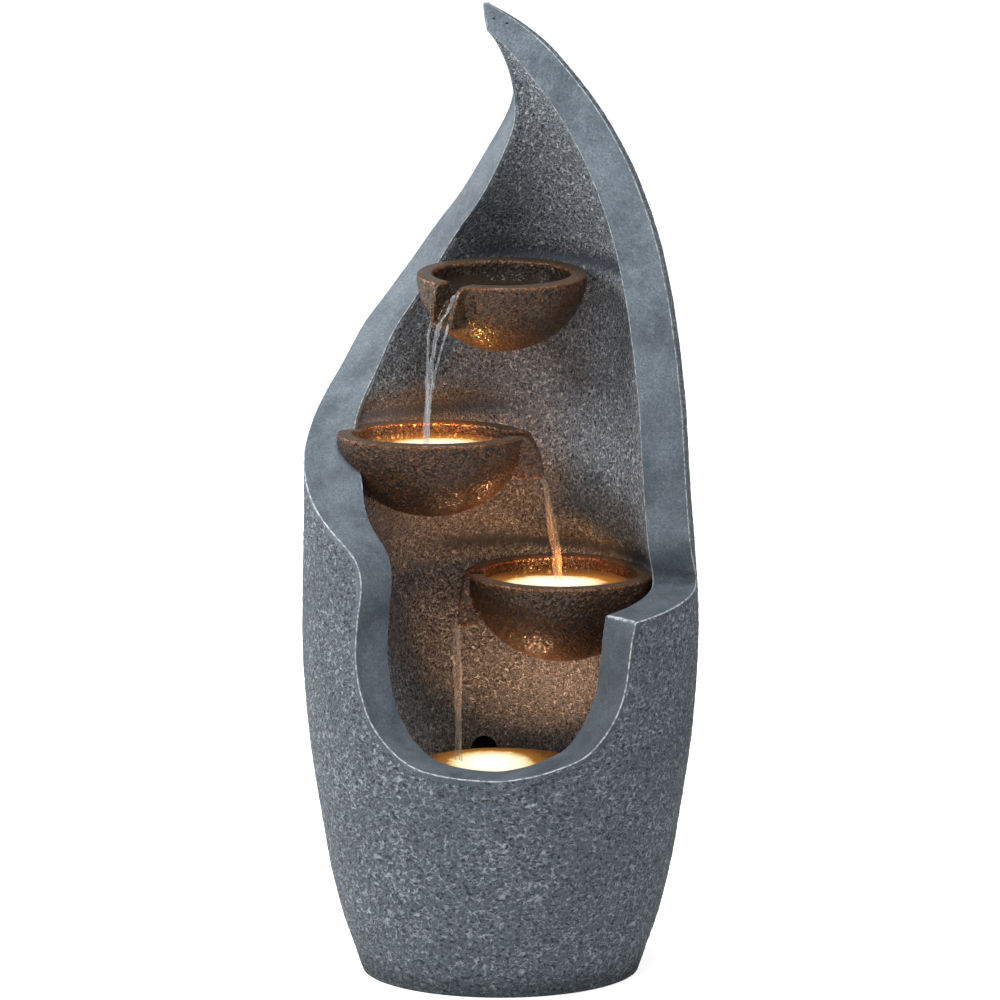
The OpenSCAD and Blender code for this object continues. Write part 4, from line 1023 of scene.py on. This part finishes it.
def dark_water():
    g = Graph("dark_water")
    place = g.place()
    ripple = g.noise(place, 110.0, 3.0, 0.6, 0.8)
    foam = g.remap(g.noise(place, 260.0, 2.0, 0.7, 0.6), 0.62, 0.72)
    offset = g.node("VectorMath", {"operation": "DISTANCE"}, i0=place,
                    i1=(0.008, 0.08, 0.702)).outputs["Value"]
    near_inlet = g.remap(offset, 0.012, 0.032, 1.0, 0.0)
    colour = g.mix(g.math("MULTIPLY", foam, near_inlet), (0.02, 0.015, 0.01), (0.6, 0.62, 0.64))
    g.shader(base_color=colour, roughness=0.06, ior=1.33, normal=g.bump(ripple, 0.0025, 0.8))
    return g.material


def falling_water(name, tint, glow):
    """Clear water: seen through in the middle, pale at its edges as a painted sheen, and along thin
    streaks that are partly white water and partly painted highlight. It also glows faintly in its
    tint, as painted light.
    """
    g = Graph(name)
    place = g.place()
    drawn = scaled(g, place, (1.0, 1.0, 0.1))
    streak = g.remap(g.noise(drawn, 560.0, 2.0, 0.6, 0.3), 0.52, 0.68)
    facing = g.node("LayerWeight", blend=0.5).outputs["Facing"]
    share = g.math("MULTIPLY", g.math("POWER", facing, 2.5), 0.45)
    share = g.math("ADD", share, g.math("MULTIPLY", streak, 0.35))
    share = g.math("ADD", share, 0.1, clamp=True)
    g.shader(base_color=(*tint, 1), roughness=0.12, ior=1.33, emission_color=(*tint, 1),
             emission_strength=glow, alpha=share,
             normal=g.bump(g.noise(drawn, 300.0, 2.0), 0.0012, 0.6))
    return g.material


def moulded(name, colour, rough=0.55, metal=0.0, fine=900.0, depth=0.0001, **more):
    """Moulded or turned finish with a light grain."""
    g = Graph(name)
    place = g.place()
    grain = g.noise(place, fine, 3.0, 0.6)
    tone = g.noise(place, 45.0, 2.0)
    shade = [tuple(c * k for c in colour) for k in (0.8, 1.2)]
    g.shader(base_color=g.mix(g.remap(tone, 0.3, 0.7), *shade), metallic=metal,
             roughness=g.remap(grain, 0.2, 0.8, rough - 0.07, rough + 0.07),
             normal=g.bump(grain, depth, 0.5), **more)
    return g.material


RUBBER = moulded("black_rubber", (0.013, 0.013, 0.014), 0.72, 0.0, 600.0, 0.00015)
BY_SLOT = {
    # The shell is painted a little darker to the right, as painted shade
    "slate_shell": hammered_finish(
        "slate", [(0.009, 0.014, 0.021), (0.045, 0.062, 0.081), (0.078, 0.103, 0.13),
                  (0.5, 0.56, 0.61)],
        scale=125.0, stretch=(1.0, 1.0, 1.25), crest_share=0.85, depth=0.004, chop=1.3,
        right=0.97),
    # The grotto is painted paler to the right and at the top as painted light; its pale crests are
    # partly dry-brushed paint and partly painted glints
    "grotto_finish": hammered_finish(
        "dark_slate", [(0.011, 0.013, 0.017), (0.058, 0.068, 0.083), (0.115, 0.13, 0.15),
                       (0.72, 0.75, 0.79)],
        scale=215.0, stretch=(1.0, 1.0, 0.8), crest_share=1.0, depth=0.006, chop=1.6,
        right=1.5, top=1.6),
    "rim_finish": band_finish(),
    "bowl_bronze": bronze_finish(),
    "black_plastic": moulded("black_moulding", (0.02, 0.02, 0.022)),
    "grey_plastic": moulded("grey_moulding", (0.3, 0.31, 0.33)),
    "rubber": RUBBER,
    "lead_jacket": RUBBER,
    "hose": moulded("smoked_hose", (0.035, 0.042, 0.042), 0.35),
    "stainless": moulded("stainless_steel", (0.62, 0.62, 0.64), 0.3, 1.0, 1400.0, 0.00005),
    "brass": moulded("turned_brass", (0.68, 0.48, 0.2), 0.32, 1.0, 1400.0, 0.00005),
    "ceramic": moulded("white_ceramic", (0.75, 0.75, 0.73), 0.2, 0.0, 900.0, 0.00002),
    "lamp_lens": moulded("lit_lens", (0.8, 0.7, 0.5), 0.2, 0.0, 700.0, 0.00005,
                         emission_color=(1.0, 0.8, 0.45, 1), emission_strength=2.0),
}
slots = {s["node"]: s["material_slot"] for s in frame["record"]["subparts"]}


def dress(obj, material):
    obj.data.materials.clear()
    obj.data.materials.append(material)


for node, obj in frame["nodes"].items():
    dress(obj, BY_SLOT[slots[node]])

skins = {"outer_shell": shell, "rim_band": rim, "grotto_wall": grotto, "access_door": door, **bowls}
for node, obj in skins.items():
    dress(obj, BY_SLOT[slots[node]])
    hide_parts(node)
    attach(obj, "door" if obj is door else "fountain")

# Lit pools: where the lamp's glow is, and its reach along X and Y
GLOWS = {"pool_middle": ((-64, 13, 541), (48, 32)), "pool_lower": ((55, 30, 394), (50, 31)),
         "pool_basin": ((-10, 30, 205), (42, 54))}
dress(pools["pool_top"], dark_water())
for name, (glow, reach) in GLOWS.items():
    dress(pools[name], lit_water("lit_" + name, glow, reach))
# Painted light: each stream glows faintly in its tint, warm for the two that the lamps light
for name, tint in (("stream_top", (0.5, 0.52, 0.55)), ("stream_middle", (0.32, 0.25, 0.19)),
                   ("stream_lower", (0.34, 0.29, 0.25))):
    dress(streams[name], falling_water("falling_" + name, tint, 0.3))
for obj in (*pools.values(), *streams.values()):
    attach(obj, "fountain")


# Lamps in the water, soft studio light, floor and camera
def lamp(name, kind, place, target, **settings):
    light = bpy.data.lights.new(name, kind)
    for k, v in settings.items():
        setattr(light, k, v)
    obj = bpy.data.objects.new(name, light)
    obj.location = place
    obj.rotation_euler = (Vector(target) - Vector(place)).to_track_quat("-Z", "Y").to_euler()
    bpy.context.scene.collection.objects.link(obj)


def beam(name, place, target, energy, cone, colour=(1.0, 0.4, 0.09)):
    """Warm beam from a lamp in the water; lengths in millimetres, cone in degrees."""
    lamp(name, "SPOT", [v * MM for v in place], [v * MM for v in target], energy=energy,
         color=colour, shadow_soft_size=0.006, spot_size=cone * RAD, spot_blend=0.9)


def softbox(name, place, energy, size):
    """White studio light on the fountain's middle; lengths in metres."""
    lamp(name, "AREA", place, (0, 0, 0.487), energy=energy, shape="RECTANGLE", size=size[0],
         size_y=size[1])


# Up from each pool to the bowl and the wall over it, and down on the bowls' own inner walls
beam("up_middle", (-52, -8, 556), (-20, 36, 664), 1.1, 66, (1.0, 0.46, 0.09))
beam("up_lower", (44, -8, 410), (-18, 66, 497), 1.05, 100, (1.0, 0.38, 0.11))
beam("up_basin", (8, -2, 214), (26, 74, 330), 1.6, 112, (1.0, 0.5, 0.25))
beam("in_middle", (-60, 20, 574), (-70, 46, 532), 0.8, 142)
beam("in_lower", (84, 16, 426), (66, 50, 386), 0.8, 142)

softbox("key", (-2.8, -1.15, 2.3), 73, (0.8, 1.0))
softbox("side", (-2.4, 1.3, 1.3), 38, (0.8, 2.0))
softbox("fill", (2.4, -2.4, 1.6), 14, (1.6, 2.4))
softbox("overhead", (0.2, -0.9, 3.2), 70, (0.9, 0.9))
softbox("front", (-1.5, -3.5, 1.2), 10, (1.4, 1.4))

# The world is white to the camera and lights the scene more weakly
world = bpy.data.worlds.new("studio")
bpy.context.scene.world = world
wg = Graph("studio", world)
sky, white = (wg.node("Background", color=(1, 1, 1, 1), strength=v) for v in (0.32, 1.0))
both = wg.node("MixShader", i0=wg.node("LightPath").outputs["Is Camera Ray"],
               i1=sky.outputs[0], i2=white.outputs[0])
wg.put(wg.out, "surface", both.outputs[0])

# The floor keeps the fountain's shadow and is lifted to white for the camera
bpy.ops.mesh.primitive_plane_add(size=14, location=(0, 0, -0.0005))
floor = bpy.context.object
floor.name = "floor"
fg = Graph("white_floor")
ray = fg.node("LightPath")
seen_by = fg.math("MAXIMUM", ray.outputs["Is Camera Ray"], ray.outputs["Is Transmission Ray"])
paper = fg.node("BsdfDiffuse", color=(0.8, 0.8, 0.8, 1))
lift = fg.node("Emission", color=(1, 1, 1, 1), strength=fg.math("MULTIPLY", seen_by, 0.78))
both = fg.node("AddShader", i0=paper.outputs[0], i1=lift.outputs[0])
fg.put(fg.out, "surface", both.outputs[0])
dress(floor, fg.material)

# Camera: degrees above the horizon, distance and width of the frame in metres
ELEVATION = 12.7
DISTANCE = 36.0
FRAME_W = 1.017
cam = bpy.data.cameras.new("camera")
cam.sensor_width = 36
cam.lens = cam.sensor_width * DISTANCE / FRAME_W
cam.clip_end = 300
camera = bpy.data.objects.new("camera", cam)
aim = Vector((-0.0005, 0, 0.4869))
back = Vector((0, -math.cos(ELEVATION * RAD), math.sin(ELEVATION * RAD)))
camera.location = aim + back * DISTANCE
camera.rotation_euler = (-back).to_track_quat("-Z", "Y").to_euler()
bpy.context.scene.collection.objects.link(camera)
bpy.context.scene.camera = camera
bpy.context.scene.view_settings.view_transform = "Standard"
